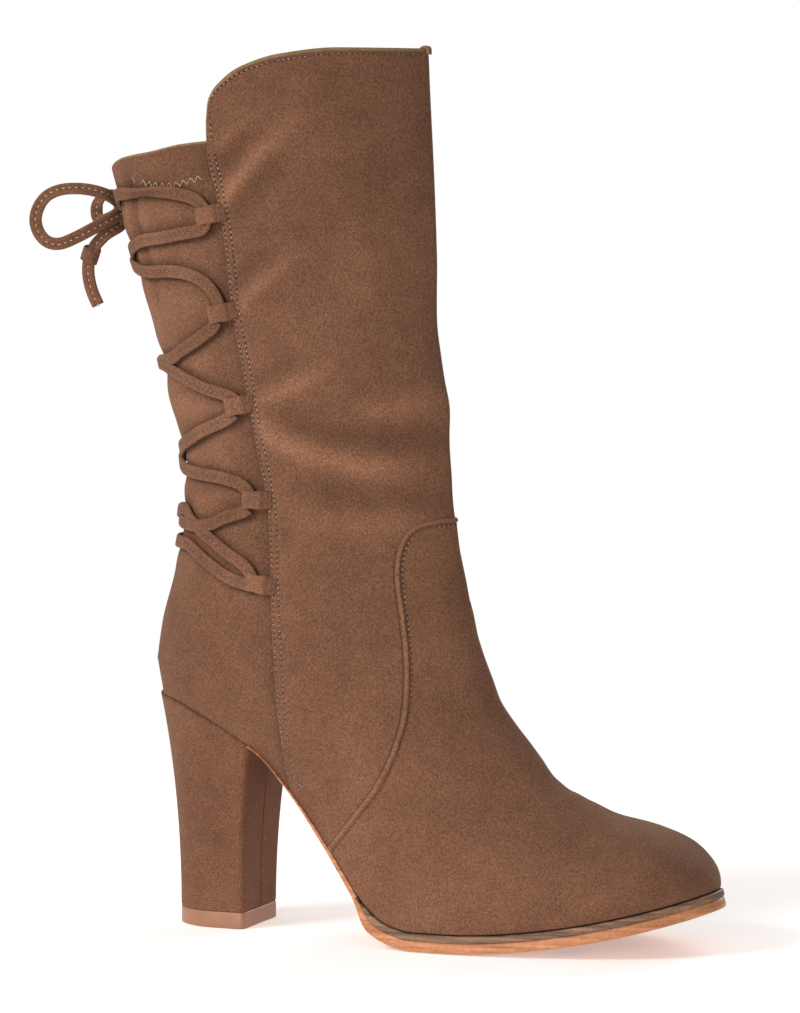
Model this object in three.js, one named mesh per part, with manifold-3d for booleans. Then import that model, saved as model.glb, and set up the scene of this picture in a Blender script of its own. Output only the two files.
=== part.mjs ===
// A right ankle boot with a block heel, laced over a stretch gore at the back. Millimetres.
// X runs from the heel to the toe, Y to the inner (medial) side, Z up from the floor.
// The origin is the middle of the heel tip's tread. Across the middle plane y = 0, a section
// is a curve from its back point Q to its front point P, drawn in a plane that holds both.

import * as THREE from 'three';
import { mergeVertices } from 'three/addons/utils/BufferGeometryUtils.js';
import Module from 'manifold-3d';

const wasm = await Module();
wasm.setup();

// Driving sizes of the boot
const TOE_REACH = 204.3; // heel middle to the toe of the upper
const HEEL_SEAT_REAR = 25.5; // heel middle to the back of the heel seat
const HEEL_HEIGHT = 92.5; // floor to the heel seat
const SHAFT_HEIGHT = 254; // heel seat to the top of the collar
const BALL_WIDTH = 79; // across the ball at the feather line
const CALF_WIDTH = 74; // across the shaft
const ANKLE_DEPTH = 106; // back to front through the ankle
const TOE_SPRING = 16; // rise of the sole at the toe

// Walls and layers
const GORE_WALL = 1.4; // stretch gore and counter
const PANEL_STEP = 0.9; // the side panels lie this much above the gore
const VAMP_STEP = 0.7; // the vamp lies this much above the side panels
const CLEARANCE = 0.3; // between pieces that meet
const SEAT_CLEARANCE = 0.5; // between the upper and what it is lasted on
const INSOLE_PLAY = 2.2; // round the insole, inside the upper
const OUTSOLE_THICK = 3.6;
const SHANK_THICK = 2.6;
const MIDSOLE_THICK = 3.4;
const INSOLE_THICK = 2;
const OUTSOLE_LEDGE = 1; // beyond the upper, all round
const MIDSOLE_LEDGE = 1.4;

// Heel
const TIP_THICK = 6.5;
const TIP_REAR = 17;
const TIP_FRONT = 16;
const TIP_WIDTH = 35;
const BREAST_TOP = 20.5; // front of the heel where it meets the sole
const HEEL_CURVE = 2.2; // how late the heel's back flares
const HEEL_BEND = 0.75; // share of the outline's turn that goes round the back
const TIP_STRAIGHT = -3; // middle of that round, at the heel's foot

// Lace and its loops
const LACE_WIDTH = 5;
const LACE_THICK = 1.8;
const CORD_DIAMETER = 3; // stands for the flat lace where it hangs free
const LOOP_LENGTH = 8;
const LOOP_TALL = 6.8;
const LOOP_PLY = 1.2;
const LOOP_PLAY = 0.5; // of the lace in its loop
const LACE_LIFT = 0.7; // of the lace above the gore, between the loops
const HUMP_SHARE = 0.12; // of a strand: half length of the hump where it passes over another

const STACK = OUTSOLE_THICK + CLEARANCE + MIDSOLE_THICK + SEAT_CLEARANCE;
const INNER_INSET = PANEL_STEP + GORE_WALL;

// Rings of the shaft, from above the collar to the heel seat. Q lies `up` above the heel seat (share of
// SHAFT_HEIGHT) and `back` from the heel middle; P lies `reach` and `rise` from Q (shares of ANKLE_DEPTH).
// `wide` is the half width (share of CALF_WIDTH). `round` and `crease` shape the back and the front.
const SHAFT_ROWS = [
  { up: 0.960, back: -0.536, reach: 1.351, rise: 0.270, wide: 0.505, round: 0.5, crease: 0.72 },
  { up: 0.890, back: -0.484, reach: 1.309, rise: 0.160, wide: 0.500, round: 0.5, crease: 0.74 },
  { up: 0.792, back: -0.414, reach: 1.256, rise: 0.075, wide: 0.490, round: 0.5, crease: 0.76 },
  { up: 0.677, back: -0.333, reach: 1.188, rise: 0.028, wide: 0.470, round: 0.5, crease: 0.76 },
  { up: 0.563, back: -0.248, reach: 1.109, rise: 0.000, wide: 0.447, round: 0.5, crease: 0.76 },
  { up: 0.449, back: -0.186, reach: 1.085, rise: 0.009, wide: 0.425, round: 0.5, crease: 0.76 },
  { up: 0.355, back: -0.135, reach: 1.042, rise: 0.050, wide: 0.412, round: 0.5, crease: 0.75 },
  { up: 0.270, back: -0.146, reach: 1.065, rise: 0.108, wide: 0.408, round: 0.5, crease: 0.72 },
  { up: 0.190, back: -0.186, reach: 1.116, rise: 0.180, wide: 0.408, round: 0.5, crease: 0.68 },
  { up: 0.110, back: -0.240, reach: 1.185, rise: 0.273, wide: 0.412, round: 0.5, crease: 0.64 },
  { up: 0.050, back: -0.263, reach: 1.226, rise: 0.333, wide: 0.418, round: 0.5, crease: 0.61 },
];

// Arches of the foot, from the back of the heel seat to the toe. Q lies on the feather line, at `along`
// (share of the whole upper's length from the back of the seat); `wide` is a share of BALL_WIDTH.
const FOOT_ROWS = [
  { along: 0.000, reach: 1.219, rise: 0.375, wide: 0.392, round: 0.5, crease: 0.60, ridge: 0.000 },
  { along: 0.026, reach: 1.175, rise: 0.339, wide: 0.392, round: 0.5, crease: 0.60, ridge: 0.000 },
  { along: 0.090, reach: 1.055, rise: 0.289, wide: 0.392, round: 0.5, crease: 0.59, ridge: 0.000 },
  { along: 0.163, reach: 0.923, rise: 0.286, wide: 0.390, round: 0.5, crease: 0.58, ridge: 0.002 },
  { along: 0.246, reach: 0.785, rise: 0.288, wide: 0.388, round: 0.5, crease: 0.57, ridge: 0.006 },
  { along: 0.329, reach: 0.678, rise: 0.358, wide: 0.395, round: 0.5, crease: 0.56, ridge: 0.012 },
  { along: 0.407, reach: 0.623, rise: 0.419, wide: 0.425, round: 0.5, crease: 0.55, ridge: 0.020 },
  { along: 0.494, reach: 0.559, rise: 0.458, wide: 0.475, round: 0.5, crease: 0.54, ridge: 0.028 },
  { along: 0.598, reach: 0.465, rise: 0.408, wide: 0.512, round: 0.5, crease: 0.52, ridge: 0.036 },
  { along: 0.703, reach: 0.354, rise: 0.364, wide: 0.512, round: 0.5, crease: 0.50, ridge: 0.044 },
  { along: 0.797, reach: 0.241, rise: 0.305, wide: 0.500, round: 0.5, crease: 0.48, ridge: 0.050 },
  { along: 0.874, reach: 0.148, rise: 0.236, wide: 0.500, round: 0.5, crease: 0.46, ridge: 0.052 },
  { along: 0.933, reach: 0.071, rise: 0.165, wide: 0.500, round: 0.5, crease: 0.45, ridge: 0.051 },
  { along: 0.976, reach: 0.017, rise: 0.100, wide: 0.500, round: 0.5, crease: 0.45, ridge: 0.050 },
  { along: 0.996, reach: -0.003, rise: 0.050, wide: 0.500, round: 0.5, crease: 0.45, ridge: 0.050 },
  { along: 1.000, reach: 0.000, rise: 0.000, wide: 0.500, round: 0.5, crease: 0.45, ridge: 0.050 },
];

// Side view of the feather line: `lift` is the share of the heel's height left at `x` (share of TOE_REACH).
const FEATHER_ROWS = [
  { x: -0.117, lift: 1.000 },
  { x: -0.058, lift: 0.978 },
  { x: 0.000, lift: 0.918 },
  { x: 0.063, lift: 0.840 },
  { x: 0.131, lift: 0.745 },
  { x: 0.184, lift: 0.620 },
  { x: 0.233, lift: 0.490 },
  { x: 0.277, lift: 0.366 },
  { x: 0.320, lift: 0.236 },
  { x: 0.364, lift: 0.111 },
  { x: 0.417, lift: 0.026 },
  { x: 0.471, lift: 0.000 },
  { x: 1.100, lift: 0.000 },
];
const SPRING_START = 0.55; // share of TOE_REACH
const SPRING_POWER = 1.7;

// Plan of the feather line: half width and swing to the inner side, shares of BALL_WIDTH, at `x`.
const PLAN_ROWS = [
  { x: 0.000, half: 0.291, swing: 0.000 },
  { x: 0.097, half: 0.310, swing: -0.006 },
  { x: 0.194, half: 0.312, swing: -0.025 },
  { x: 0.282, half: 0.354, swing: -0.038 },
  { x: 0.379, half: 0.430, swing: -0.040 },
  { x: 0.476, half: 0.485, swing: -0.032 },
  { x: 0.573, half: 0.500, swing: -0.013 },
  { x: 0.670, half: 0.491, swing: 0.004 },
  { x: 0.728, half: 0.477, swing: 0.015 },
  { x: 1.000, half: 0.477, swing: 0.050 },
  { x: 1.100, half: 0.477, swing: 0.050 },
];
const TOE_ROUND_START = 0.728; // share of TOE_REACH; beyond it the plan is an ellipse

// Seams in side view: x as a share of ANKLE_DEPTH, `up` as a share of SHAFT_HEIGHT above the heel seat
const PANEL_EDGE = [
  { x: 0.406, up: -0.205 },
  { x: 0.373, up: -0.134 },
  { x: 0.340, up: -0.028 },
  { x: 0.321, up: 0.095 },
  { x: 0.311, up: 0.185 },
  { x: 0.302, up: 0.287 },
  { x: 0.255, up: 0.398 },
  { x: 0.212, up: 0.504 },
  { x: 0.170, up: 0.610 },
  { x: 0.151, up: 0.700 },
  { x: 0.123, up: 0.776 },
  { x: 0.088, up: 0.842 },
  { x: 0.085, up: 0.890 },
];
const COLLAR_EDGE = [
  { x: 0.085, up: 0.890 },
  { x: 0.094, up: 0.921 },
  { x: 0.142, up: 0.949 },
  { x: 0.222, up: 0.972 },
  { x: 0.358, up: 0.990 },
  { x: 0.566, up: 1.000 },
  { x: 0.830, up: 0.999 },
  { x: 1.040, up: 0.994 },
];
const GORE_TOP = [
  { x: -0.700, up: 0.770 },
  { x: -0.406, up: 0.817 },
  { x: -0.311, up: 0.832 },
  { x: -0.160, up: 0.842 },
  { x: -0.028, up: 0.853 },
  { x: 0.300, up: 0.866 },
];
const VAMP_EDGE = [
  { x: 1.400, up: 0.279 },
  { x: 0.934, up: 0.281 },
  { x: 0.882, up: 0.278 },
  { x: 0.836, up: 0.256 },
  { x: 0.811, up: 0.220 },
  { x: 0.811, up: 0.180 },
  { x: 0.835, up: 0.102 },
  { x: 0.853, up: 0.055 },
  { x: 0.843, up: 0.004 },
  { x: 0.825, up: -0.043 },
  { x: 0.783, up: -0.098 },
  { x: 0.717, up: -0.144 },
  { x: 0.642, up: -0.182 },
  { x: 0.557, up: -0.213 },
  { x: 0.440, up: -0.245 },
];
const LOOP_UPS = [0.746, 0.596, 0.455, 0.312, 0.184]; // middles of the loops, share of SHAFT_HEIGHT
// Where the lace passes the back of the gore: its crossings, and the bars above and below them
const CROSSING_UPS = [0.675, 0.515, 0.368, 0.278];
const TOP_BAR_UP = 0.758;
const LOW_BAR_UP = 0.236;

// How finely the surfaces are cut
const HALF_STEPS = 13; // from the back to the front, on each side
const INNER_HALF_STEPS = 8;
const ROW_STEP = 0.5;
const SEAM_SEGMENTS = 2; // between two points of a seam's table
const SOLE_STEP = 2.5;
const TOE_STEPS = 14; // of the sole layers, round the toe
const INSOLE_STEPS = 40;
const HEEL_TURNS = 12; // from the heel's back to its breast
const HEEL_LEVELS = 6;
const STRAND_STEPS = 14;
const LOOP_SEGMENTS = 3;
const CORD_SEGMENTS = 3;
const CORD_STEP = 3.6;
const KNOT_SEGMENTS = 9;
const HALVINGS = 40; // of a span in which a value is looked for

const suede = new THREE.MeshStandardMaterial({ color: 0x84644f, roughness: 0.92, metalness: 0 });
const laceSuede = new THREE.MeshStandardMaterial({ color: 0x7a5742, roughness: 0.9, metalness: 0 });
const lining = new THREE.MeshStandardMaterial({ color: 0xb9a184, roughness: 0.8, metalness: 0 });
const stackedLeather = new THREE.MeshStandardMaterial({ color: 0x6e5546, roughness: 0.7, metalness: 0 });
const soleLeather = new THREE.MeshStandardMaterial({ color: 0xc98a5e, roughness: 0.5, metalness: 0 });
const tipRubber = new THREE.MeshStandardMaterial({ color: 0xb08062, roughness: 0.6, metalness: 0 });

// Smooth curve through the rows of a table, read at x; it never overshoots a row.
function curveOf(rows, key, at = 'x') {
  const slope = (i) => (rows[i + 1][key] - rows[i][key]) / (rows[i + 1][at] - rows[i][at]);
  const tangent = (i) => {
    if (i === 0) return slope(0);
    if (i === rows.length - 1) return slope(i - 1);
    const [a, b] = [slope(i - 1), slope(i)];
    return a * b <= 0 ? 0 : (2 * a * b) / (a + b);
  };
  return (x) => {
    let i = 0;
    while (i < rows.length - 2 && x > rows[i + 1][at]) i++;
    const span = rows[i + 1][at] - rows[i][at];
    const t = THREE.MathUtils.clamp((x - rows[i][at]) / span, 0, 1);
    const [from, to] = [rows[i][key], rows[i + 1][key]];
    const rise = to - from;
    const [m0, m1] = [tangent(i) * span, tangent(i + 1) * span];
    return from + t * (m0 + t * (3 * rise - 2 * m0 - m1 + t * (m0 + m1 - 2 * rise)));
  };
}

// A table read by its row number, so that a value may be asked for between two rows
function byRow(rows, key) {
  const numbered = rows.map((row, i) => ({ ...row, row: i }));
  return curveOf(numbered, key, 'row');
}

const liftAt = curveOf(FEATHER_ROWS, 'lift');
const halfAt = curveOf(PLAN_ROWS, 'half');
const swingAt = curveOf(PLAN_ROWS, 'swing');

function featherHeight(x) {
  const share = x / TOE_REACH;
  const spring = Math.max(0, (share - SPRING_START) / (1 - SPRING_START)) ** SPRING_POWER;
  return STACK + liftAt(share) * (HEEL_HEIGHT - STACK) + TOE_SPRING * spring;
}

// 1 between the heel and the toe, falling to 0 along an ellipse at each end
function endRound(x, grow) {
  const toeStart = TOE_ROUND_START * TOE_REACH;
  const toeRound = (x - toeStart) / (TOE_REACH + grow - toeStart);
  const over = x > toeStart ? toeRound : -x / (HEEL_SEAT_REAR + grow);
  return Math.sqrt(Math.max(0, 1 - Math.max(0, over) ** 2));
}

// Half width of the feather line's outline, moved out by `grow`
function planHalf(x, grow) {
  return (halfAt(x / TOE_REACH) * BALL_WIDTH + grow) * endRound(x, grow);
}

function planMiddle(x) {
  return swingAt(x / TOE_REACH) * BALL_WIDTH;
}

const shaft = Object.fromEntries(
  ['up', 'back', 'reach', 'rise', 'wide', 'round', 'crease'].map((key) => [key, byRow(SHAFT_ROWS, key)]),
);
const foot = Object.fromEntries(
  ['along', 'reach', 'rise', 'wide', 'round', 'crease', 'ridge'].map((key) => [key, byRow(FOOT_ROWS, key)]),
);
const FOOT_START = SHAFT_ROWS.length; // the row number where the foot's arches begin
const LAST_ROW = FOOT_START + FOOT_ROWS.length - 1;

// Back point Q and front point P of a section at any row number, before any inset
function spine(row) {
  if (row < FOOT_START) {
    const r = Math.min(row, FOOT_START - 1);
    const q = new THREE.Vector2(shaft.back(r) * ANKLE_DEPTH, HEEL_HEIGHT + shaft.up(r) * SHAFT_HEIGHT);
    const p = new THREE.Vector2(shaft.reach(r), shaft.rise(r)).multiplyScalar(ANKLE_DEPTH).add(q);
    if (row <= FOOT_START - 1) return { q, p };
    const seat = spine(FOOT_START);
    return { q: q.lerp(seat.q, row - r), p: p.lerp(seat.p, row - r) };
  }
  const r = row - FOOT_START;
  const x = THREE.MathUtils.lerp(-HEEL_SEAT_REAR, TOE_REACH, foot.along(r));
  const q = new THREE.Vector2(x, featherHeight(x));
  const p = new THREE.Vector2(foot.reach(r), foot.rise(r)).multiplyScalar(ANKLE_DEPTH).add(q);
  return { q, p };
}

// Outward direction of the front or back profile at a row
function profileNormal(row, point, side) {
  const step = 0.05;
  const a = spine(Math.max(0, row - step))[point];
  const b = spine(Math.min(LAST_ROW, row + step))[point];
  return new THREE.Vector2(-(b.y - a.y), b.x - a.x).multiplyScalar(side).normalize();
}

const bell = (t, round, crease) => t ** round * (1 - t) ** crease;

const LARGEST_START = 0.985; // of the section's widest: a start wider than this would have no curve left

// Where the section's curve starts, so that it begins at the feather line's half width. `share` is that
// width as a share of the section's widest.
function startOf(share, round, crease) {
  const peak = round / (round + crease);
  const wanted = Math.min(share, LARGEST_START) * bell(peak, round, crease);
  let [low, high] = [0, peak];
  for (let i = 0; i < HALVINGS; i++) {
    const middle = (low + high) / 2;
    if (bell(middle, round, crease) < wanted) low = middle;
    else high = middle;
  }
  return share <= 0 ? 0 : low;
}

// One section of the form that lies `inset` inside the boot's outer surface
function sectionAt(row, inset, drop) {
  const { q, p } = spine(row);
  const inFoot = row >= FOOT_START;
  const r = inFoot ? row - FOOT_START : Math.min(row, FOOT_START - 1);
  p.addScaledVector(profileNormal(row, 'p', 1), -inset);
  let start = 0;
  let half;
  let swing = 0;
  let ridge = 0;
  if (inFoot) {
    const grow = -inset;
    const x = THREE.MathUtils.lerp(-HEEL_SEAT_REAR - grow, TOE_REACH + grow, foot.along(r));
    q.set(x, featherHeight(x) - drop);
    start = planHalf(x, grow);
    const toeRound = x > 0 ? endRound(x, grow) : 1;
    half = Math.max((foot.wide(r) * BALL_WIDTH + grow) * toeRound, start);
    swing = planMiddle(x);
    ridge = foot.ridge(r) * BALL_WIDTH;
  } else {
    q.addScaledVector(profileNormal(row, 'q', -1), -inset);
    half = shaft.wide(r) * CALF_WIDTH - inset;
  }
  const table = inFoot ? foot : shaft;
  const [round, crease] = [table.round(r), table.crease(r)];
  const first = half > 0 ? startOf(start / half, round, crease) : 0;
  return { q, p, half, swing, ridge, round, crease, first };
}

// A point of a section: turn 0 is its start, at the back or the feather line, and turn 1 its front
function sectionPoint(section, side, turn) {
  const { q, p, half, swing, ridge, round, crease, first } = section;
  const share = (1 - Math.cos(Math.PI * turn)) / 2;
  const t = THREE.MathUtils.lerp(first, 1, share);
  const peak = round / (round + crease);
  const out = turn >= 1 ? 0 : (half * bell(t, round, crease)) / bell(peak, round, crease);
  return new THREE.Vector3(
    THREE.MathUtils.lerp(q.x, p.x, share),
    THREE.MathUtils.lerp(swing, ridge, share) + side * out,
    THREE.MathUtils.lerp(q.y, p.y, share),
  );
}

// Closed solid through rings of equally many points; each end is zipped shut side to side
function loft(rings) {
  const positions = [];
  const triangle = (a, b, c) => positions.push(...a.toArray(), ...b.toArray(), ...c.toArray());
  const count = rings[0].length;
  for (let i = 0; i + 1 < rings.length; i++) {
    for (let j = 0; j < count; j++) {
      const k = (j + 1) % count;
      triangle(rings[i][j], rings[i][k], rings[i + 1][k]);
      triangle(rings[i][j], rings[i + 1][k], rings[i + 1][j]);
    }
  }
  for (const [ring, flip] of [[rings[0], true], [rings.at(-1), false]]) {
    for (let j = 0; j < Math.floor(count / 2); j++) {
      const k = count - 1 - j;
      if (k - j < 2) break;
      const corners = [[ring[j], ring[j + 1], ring[k]], [ring[j + 1], ring[k - 1], ring[k]]];
      for (const [a, b, c] of k - 1 > j + 1 ? corners : corners.slice(0, 1)) {
        if (flip) triangle(a, c, b);
        else triangle(a, b, c);
      }
    }
  }
  const geometry = new THREE.BufferGeometry();
  geometry.setAttribute('position', new THREE.Float32BufferAttribute(positions, 3));
  return solid(geometry);
}

// Manifold solid of a closed geometry, with its faces turned outwards
function solid(geometry) {
  const bare = geometry.clone();
  for (const name of Object.keys(bare.attributes)) if (name !== 'position') bare.deleteAttribute(name);
  const merged = mergeVertices(bare, 1e-3);
  const place = merged.attributes.position;
  const corner = (i) => new THREE.Vector3().fromBufferAttribute(place, i);
  const triangles = [];
  let volume = 0;
  for (let i = 0; i < merged.index.count; i += 3) {
    const [a, b, c] = [0, 1, 2].map((k) => merged.index.getX(i + k));
    if (a === b || b === c || a === c) continue;
    triangles.push([a, b, c]);
    volume += corner(a).dot(corner(b).cross(corner(c)));
  }
  const triVerts = new Uint32Array(triangles.flatMap(([a, b, c]) => (volume < 0 ? [a, c, b] : [a, b, c])));
  const vertProperties = new Float32Array(place.array);
  return new wasm.Manifold(new wasm.Mesh({ numProp: 3, vertProperties, triVerts }));
}

function meshOf(name, body, material) {
  const { vertProperties, triVerts } = body.getMesh();
  const geometry = new THREE.BufferGeometry();
  geometry.setAttribute('position', new THREE.BufferAttribute(new Float32Array(vertProperties), 3));
  geometry.setIndex(new THREE.BufferAttribute(new Uint32Array(triVerts), 1));
  geometry.computeVertexNormals();
  const mesh = new THREE.Mesh(geometry, material);
  mesh.name = name;
  return mesh;
}

// Row numbers that a form is cut at
function rowNumbers() {
  const rows = [];
  for (let row = 0; row < LAST_ROW; row += ROW_STEP) rows.push(row);
  return [...rows, LAST_ROW];
}

// Solid form of the boot, `inset` inside its outer surface, its sole side lowered by `drop`
function bootForm(inset, drop, steps) {
  return loft(rowNumbers().map((row) => {
    const section = sectionAt(row, inset, drop);
    const turns = Array.from({ length: steps + 1 }, (_, i) => i / steps);
    const outer = turns.map((turn) => sectionPoint(section, -1, turn));
    const inner = turns.slice(0, -1).reverse().map((turn) => sectionPoint(section, 1, turn));
    return [...outer, ...inner];
  }));
}

const sidePoint = ({ x, up }) => new THREE.Vector2(x * ANKLE_DEPTH, HEEL_HEIGHT + up * SHAFT_HEIGHT);

// Slab through the whole width of the boot, with the given outline in side view
function sideSlab(outline) {
  const width = 2 * CALF_WIDTH + 2 * BALL_WIDTH;
  const geometry = new THREE.ExtrudeGeometry(outline, {
    depth: width,
    bevelEnabled: false,
    curveSegments: SEAM_SEGMENTS,
  });
  geometry.rotateX(Math.PI / 2);
  geometry.translate(0, width / 2, 0);
  return solid(geometry);
}

const AROUND = 40; // how far the slabs pass the boot
const FLOOR = -AROUND;

function panelOutline() {
  const edge = PANEL_EDGE.map(sidePoint);
  const collar = COLLAR_EDGE.map(sidePoint);
  const shape = new THREE.Shape();
  shape.moveTo(edge[0].x, FLOOR);
  shape.lineTo(edge[0].x, edge[0].y);
  shape.splineThru(edge.slice(1));
  shape.splineThru(collar.slice(1));
  shape.lineTo(TOE_REACH + AROUND, collar.at(-1).y);
  shape.lineTo(TOE_REACH + AROUND, FLOOR);
  return shape;
}

function goreOutline() {
  const top = GORE_TOP.map(sidePoint);
  const shape = new THREE.Shape();
  shape.moveTo(top[0].x, FLOOR);
  shape.lineTo(top[0].x, top[0].y);
  shape.splineThru(top.slice(1));
  shape.lineTo(top.at(-1).x + AROUND, top.at(-1).y);
  shape.lineTo(top.at(-1).x + AROUND, FLOOR);
  return shape;
}

function vampOutline() {
  const edge = VAMP_EDGE.map(sidePoint);
  const shape = new THREE.Shape();
  shape.moveTo(edge.at(-1).x, FLOOR);
  shape.lineTo(TOE_REACH + AROUND, FLOOR);
  shape.lineTo(TOE_REACH + AROUND, edge[0].y);
  shape.lineTo(edge[0].x, edge[0].y);
  shape.splineThru(edge.slice(1));
  return shape;
}

function makeUpper() {
  const back = bootForm(PANEL_STEP, 0, HALF_STEPS).intersect(sideSlab(goreOutline()));
  const panels = bootForm(0, 0, HALF_STEPS).intersect(sideSlab(panelOutline()));
  const vamp = bootForm(-VAMP_STEP, 0, HALF_STEPS).intersect(sideSlab(vampOutline()));
  const room = bootForm(INNER_INSET, 2 * CLEARANCE, INNER_HALF_STEPS);
  return back.add(panels).add(vamp).subtract(room);
}

// A point `deep` below the feather line, square to it
function belowFeather(x, deep) {
  const step = 0.5;
  const slope = (featherHeight(x + step) - featherHeight(x - step)) / (2 * step);
  const length = Math.hypot(1, slope);
  return new THREE.Vector2(x + (deep * slope) / length, featherHeight(x) - deep / length);
}

// Where the sole layers are cut: evenly up to the toe's round, then closing in on its tip
function soleStations(from, to) {
  const toeStart = TOE_ROUND_START * TOE_REACH;
  const stations = [from];
  for (let i = Math.ceil(from / SOLE_STEP); i * SOLE_STEP < toeStart; i++) stations.push(i * SOLE_STEP);
  for (let i = 0; i <= TOE_STEPS; i++) {
    const turn = (i / TOE_STEPS) * (Math.PI / 2);
    stations.push(THREE.MathUtils.lerp(toeStart, to, Math.sin(turn)));
  }
  return stations;
}

// Flat layer that follows the feather line from x `from` to x `to`; `topDeep` and `lowDeep` give its faces
function soleLayer({ from, to, grow, topDeep, lowDeep }) {
  const rings = [];
  for (const x of soleStations(from, to)) {
    const half = planHalf(x, grow);
    const middle = planMiddle(x);
    const top = belowFeather(x, topDeep(x));
    const low = belowFeather(x, lowDeep(x));
    rings.push([
      new THREE.Vector3(low.x, middle - half, low.y),
      new THREE.Vector3(top.x, middle - half, top.y),
      new THREE.Vector3(top.x, middle + half, top.y),
      new THREE.Vector3(low.x, middle + half, low.y),
    ]);
  }
  return loft(rings);
}

// The midsole starts as a wedge under the ball: 0 behind it, 1 where it has its full thickness
const WEDGE_START = 0.345; // shares of TOE_REACH
const WEDGE_END = 0.395;
const MIDSOLE_START = 0.365; // where the wedge is thick enough to be cut
const wedge = (x) => THREE.MathUtils.smoothstep(x / TOE_REACH, WEDGE_START, WEDGE_END);
const outsoleTop = (x) => SEAT_CLEARANCE + wedge(x) * (MIDSOLE_THICK + CLEARANCE);
const outsoleThick = (x) => THREE.MathUtils.lerp(SHANK_THICK, OUTSOLE_THICK, wedge(x));

function makeOutsole() {
  return soleLayer({
    from: BREAST_TOP + CLEARANCE + SHANK_THICK,
    to: TOE_REACH + OUTSOLE_LEDGE,
    grow: OUTSOLE_LEDGE,
    topDeep: outsoleTop,
    lowDeep: (x) => outsoleTop(x) + outsoleThick(x),
  });
}

function makeMidsole() {
  return soleLayer({
    from: MIDSOLE_START * TOE_REACH,
    to: TOE_REACH + MIDSOLE_LEDGE,
    grow: MIDSOLE_LEDGE,
    topDeep: () => SEAT_CLEARANCE,
    lowDeep: (x) => outsoleTop(x) - CLEARANCE,
  });
}

function makeInsole() {
  const grow = -INNER_INSET - INSOLE_PLAY;
  const rings = [];
  for (let i = 0; i <= INSOLE_STEPS; i++) {
    const share = (1 - Math.cos((i / INSOLE_STEPS) * Math.PI)) / 2;
    const x = THREE.MathUtils.lerp(-HEEL_SEAT_REAR - grow, TOE_REACH + grow, share);
    const half = planHalf(x, grow);
    const middle = planMiddle(x);
    const low = featherHeight(x);
    const top = low + INSOLE_THICK;
    rings.push([
      new THREE.Vector3(x, middle - half, low),
      new THREE.Vector3(x, middle - half, top),
      new THREE.Vector3(x, middle + half, top),
      new THREE.Vector3(x, middle + half, low),
    ]);
  }
  return loft(rings);
}

// D-shaped outline of the heel: `turn` 0 is its back, 1 its front corner
function heelOutline({ rear, front, half, straight }, turn) {
  if (turn < HEEL_BEND) {
    const angle = (turn / HEEL_BEND) * (Math.PI / 2);
    return new THREE.Vector2(-straight - (rear - straight) * Math.cos(angle), half * Math.sin(angle));
  }
  return new THREE.Vector2(THREE.MathUtils.lerp(-straight, front, (turn - HEEL_BEND) / (1 - HEEL_BEND)), half);
}

const HEEL_FOOT = { rear: TIP_REAR, front: TIP_FRONT, half: TIP_WIDTH / 2, straight: TIP_STRAIGHT };

function makeHeel() {
  const half = planHalf(0, 0) - CLEARANCE;
  const seat = { rear: HEEL_SEAT_REAR - CLEARANCE, front: BREAST_TOP, half, straight: 0 };
  const bottom = TIP_THICK + CLEARANCE;
  const rings = [];
  for (let i = 0; i <= HEEL_TURNS; i++) {
    const low = heelOutline(HEEL_FOOT, i / HEEL_TURNS);
    const high = heelOutline(seat, i / HEEL_TURNS);
    const column = (side) => Array.from({ length: HEEL_LEVELS + 1 }, (_, k) => {
      const rise = k / HEEL_LEVELS;
      const flare = rise ** HEEL_CURVE;
      const x = THREE.MathUtils.lerp(low.x, high.x, flare);
      const y = THREE.MathUtils.lerp(low.y, high.y, THREE.MathUtils.lerp(rise, flare, 0.5));
      const top = featherHeight(high.x) - SEAT_CLEARANCE;
      return new THREE.Vector3(x, side * y, THREE.MathUtils.lerp(bottom, top, rise));
    });
    rings.push([...column(-1), ...column(1).reverse()]);
  }
  return loft(rings);
}

function makeHeelTip() {
  const rings = [];
  for (let i = 0; i <= HEEL_TURNS; i++) {
    const { x, y } = heelOutline(HEEL_FOOT, i / HEEL_TURNS);
    rings.push([
      new THREE.Vector3(x, -y, 0),
      new THREE.Vector3(x, -y, TIP_THICK),
      new THREE.Vector3(x, y, TIP_THICK),
      new THREE.Vector3(x, y, 0),
    ]);
  }
  return loft(rings);
}

// Row number whose back point lies `up` the shaft
function rowAtBack(up) {
  let [low, high] = [0, FOOT_START];
  for (let i = 0; i < HALVINGS; i++) {
    const middle = (low + high) / 2;
    if (spine(middle).q.y > HEEL_HEIGHT + up * SHAFT_HEIGHT) low = middle;
    else high = middle;
  }
  return low;
}

// Row number and turn of the point that shows at (x, z) in side view, on the shaft
function onShaft(x, z) {
  const target = new THREE.Vector2(x, z);
  let [low, high] = [0, FOOT_START];
  for (let i = 0; i < HALVINGS; i++) {
    const middle = (low + high) / 2;
    const { q, p } = spine(middle);
    if (p.sub(q).cross(target.clone().sub(q)) < 0) low = middle;
    else high = middle;
  }
  const { q, p } = spine(low);
  const along = p.sub(q);
  const share = target.sub(q).dot(along) / along.lengthSq();
  return { row: low, turn: Math.acos(1 - 2 * share) / Math.PI };
}

// Point on the gore's surface and its outward normal; `turn` is negative on the outer (lateral) side
function goreSurface(row, turn) {
  const place = (r, t) => sectionPoint(sectionAt(r, PANEL_STEP, 0), Math.sign(t) || 1, Math.abs(t));
  const step = 0.01;
  const along = place(row + step, turn).sub(place(row - step, turn));
  const round = place(row, turn + step).sub(place(row, turn - step));
  return { point: place(row, turn), normal: round.cross(along).normalize() };
}

const panelEdgeAt = curveOf(PANEL_EDGE, 'x', 'up');
const SLOT_THICK = LACE_THICK + LOOP_PLAY;
const LOOP_THICK = SLOT_THICK + 2 * LOOP_PLY;
const SLOT_MIDDLE = CLEARANCE + LOOP_THICK / 2; // of the lace in its loop, above the gore

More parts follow.
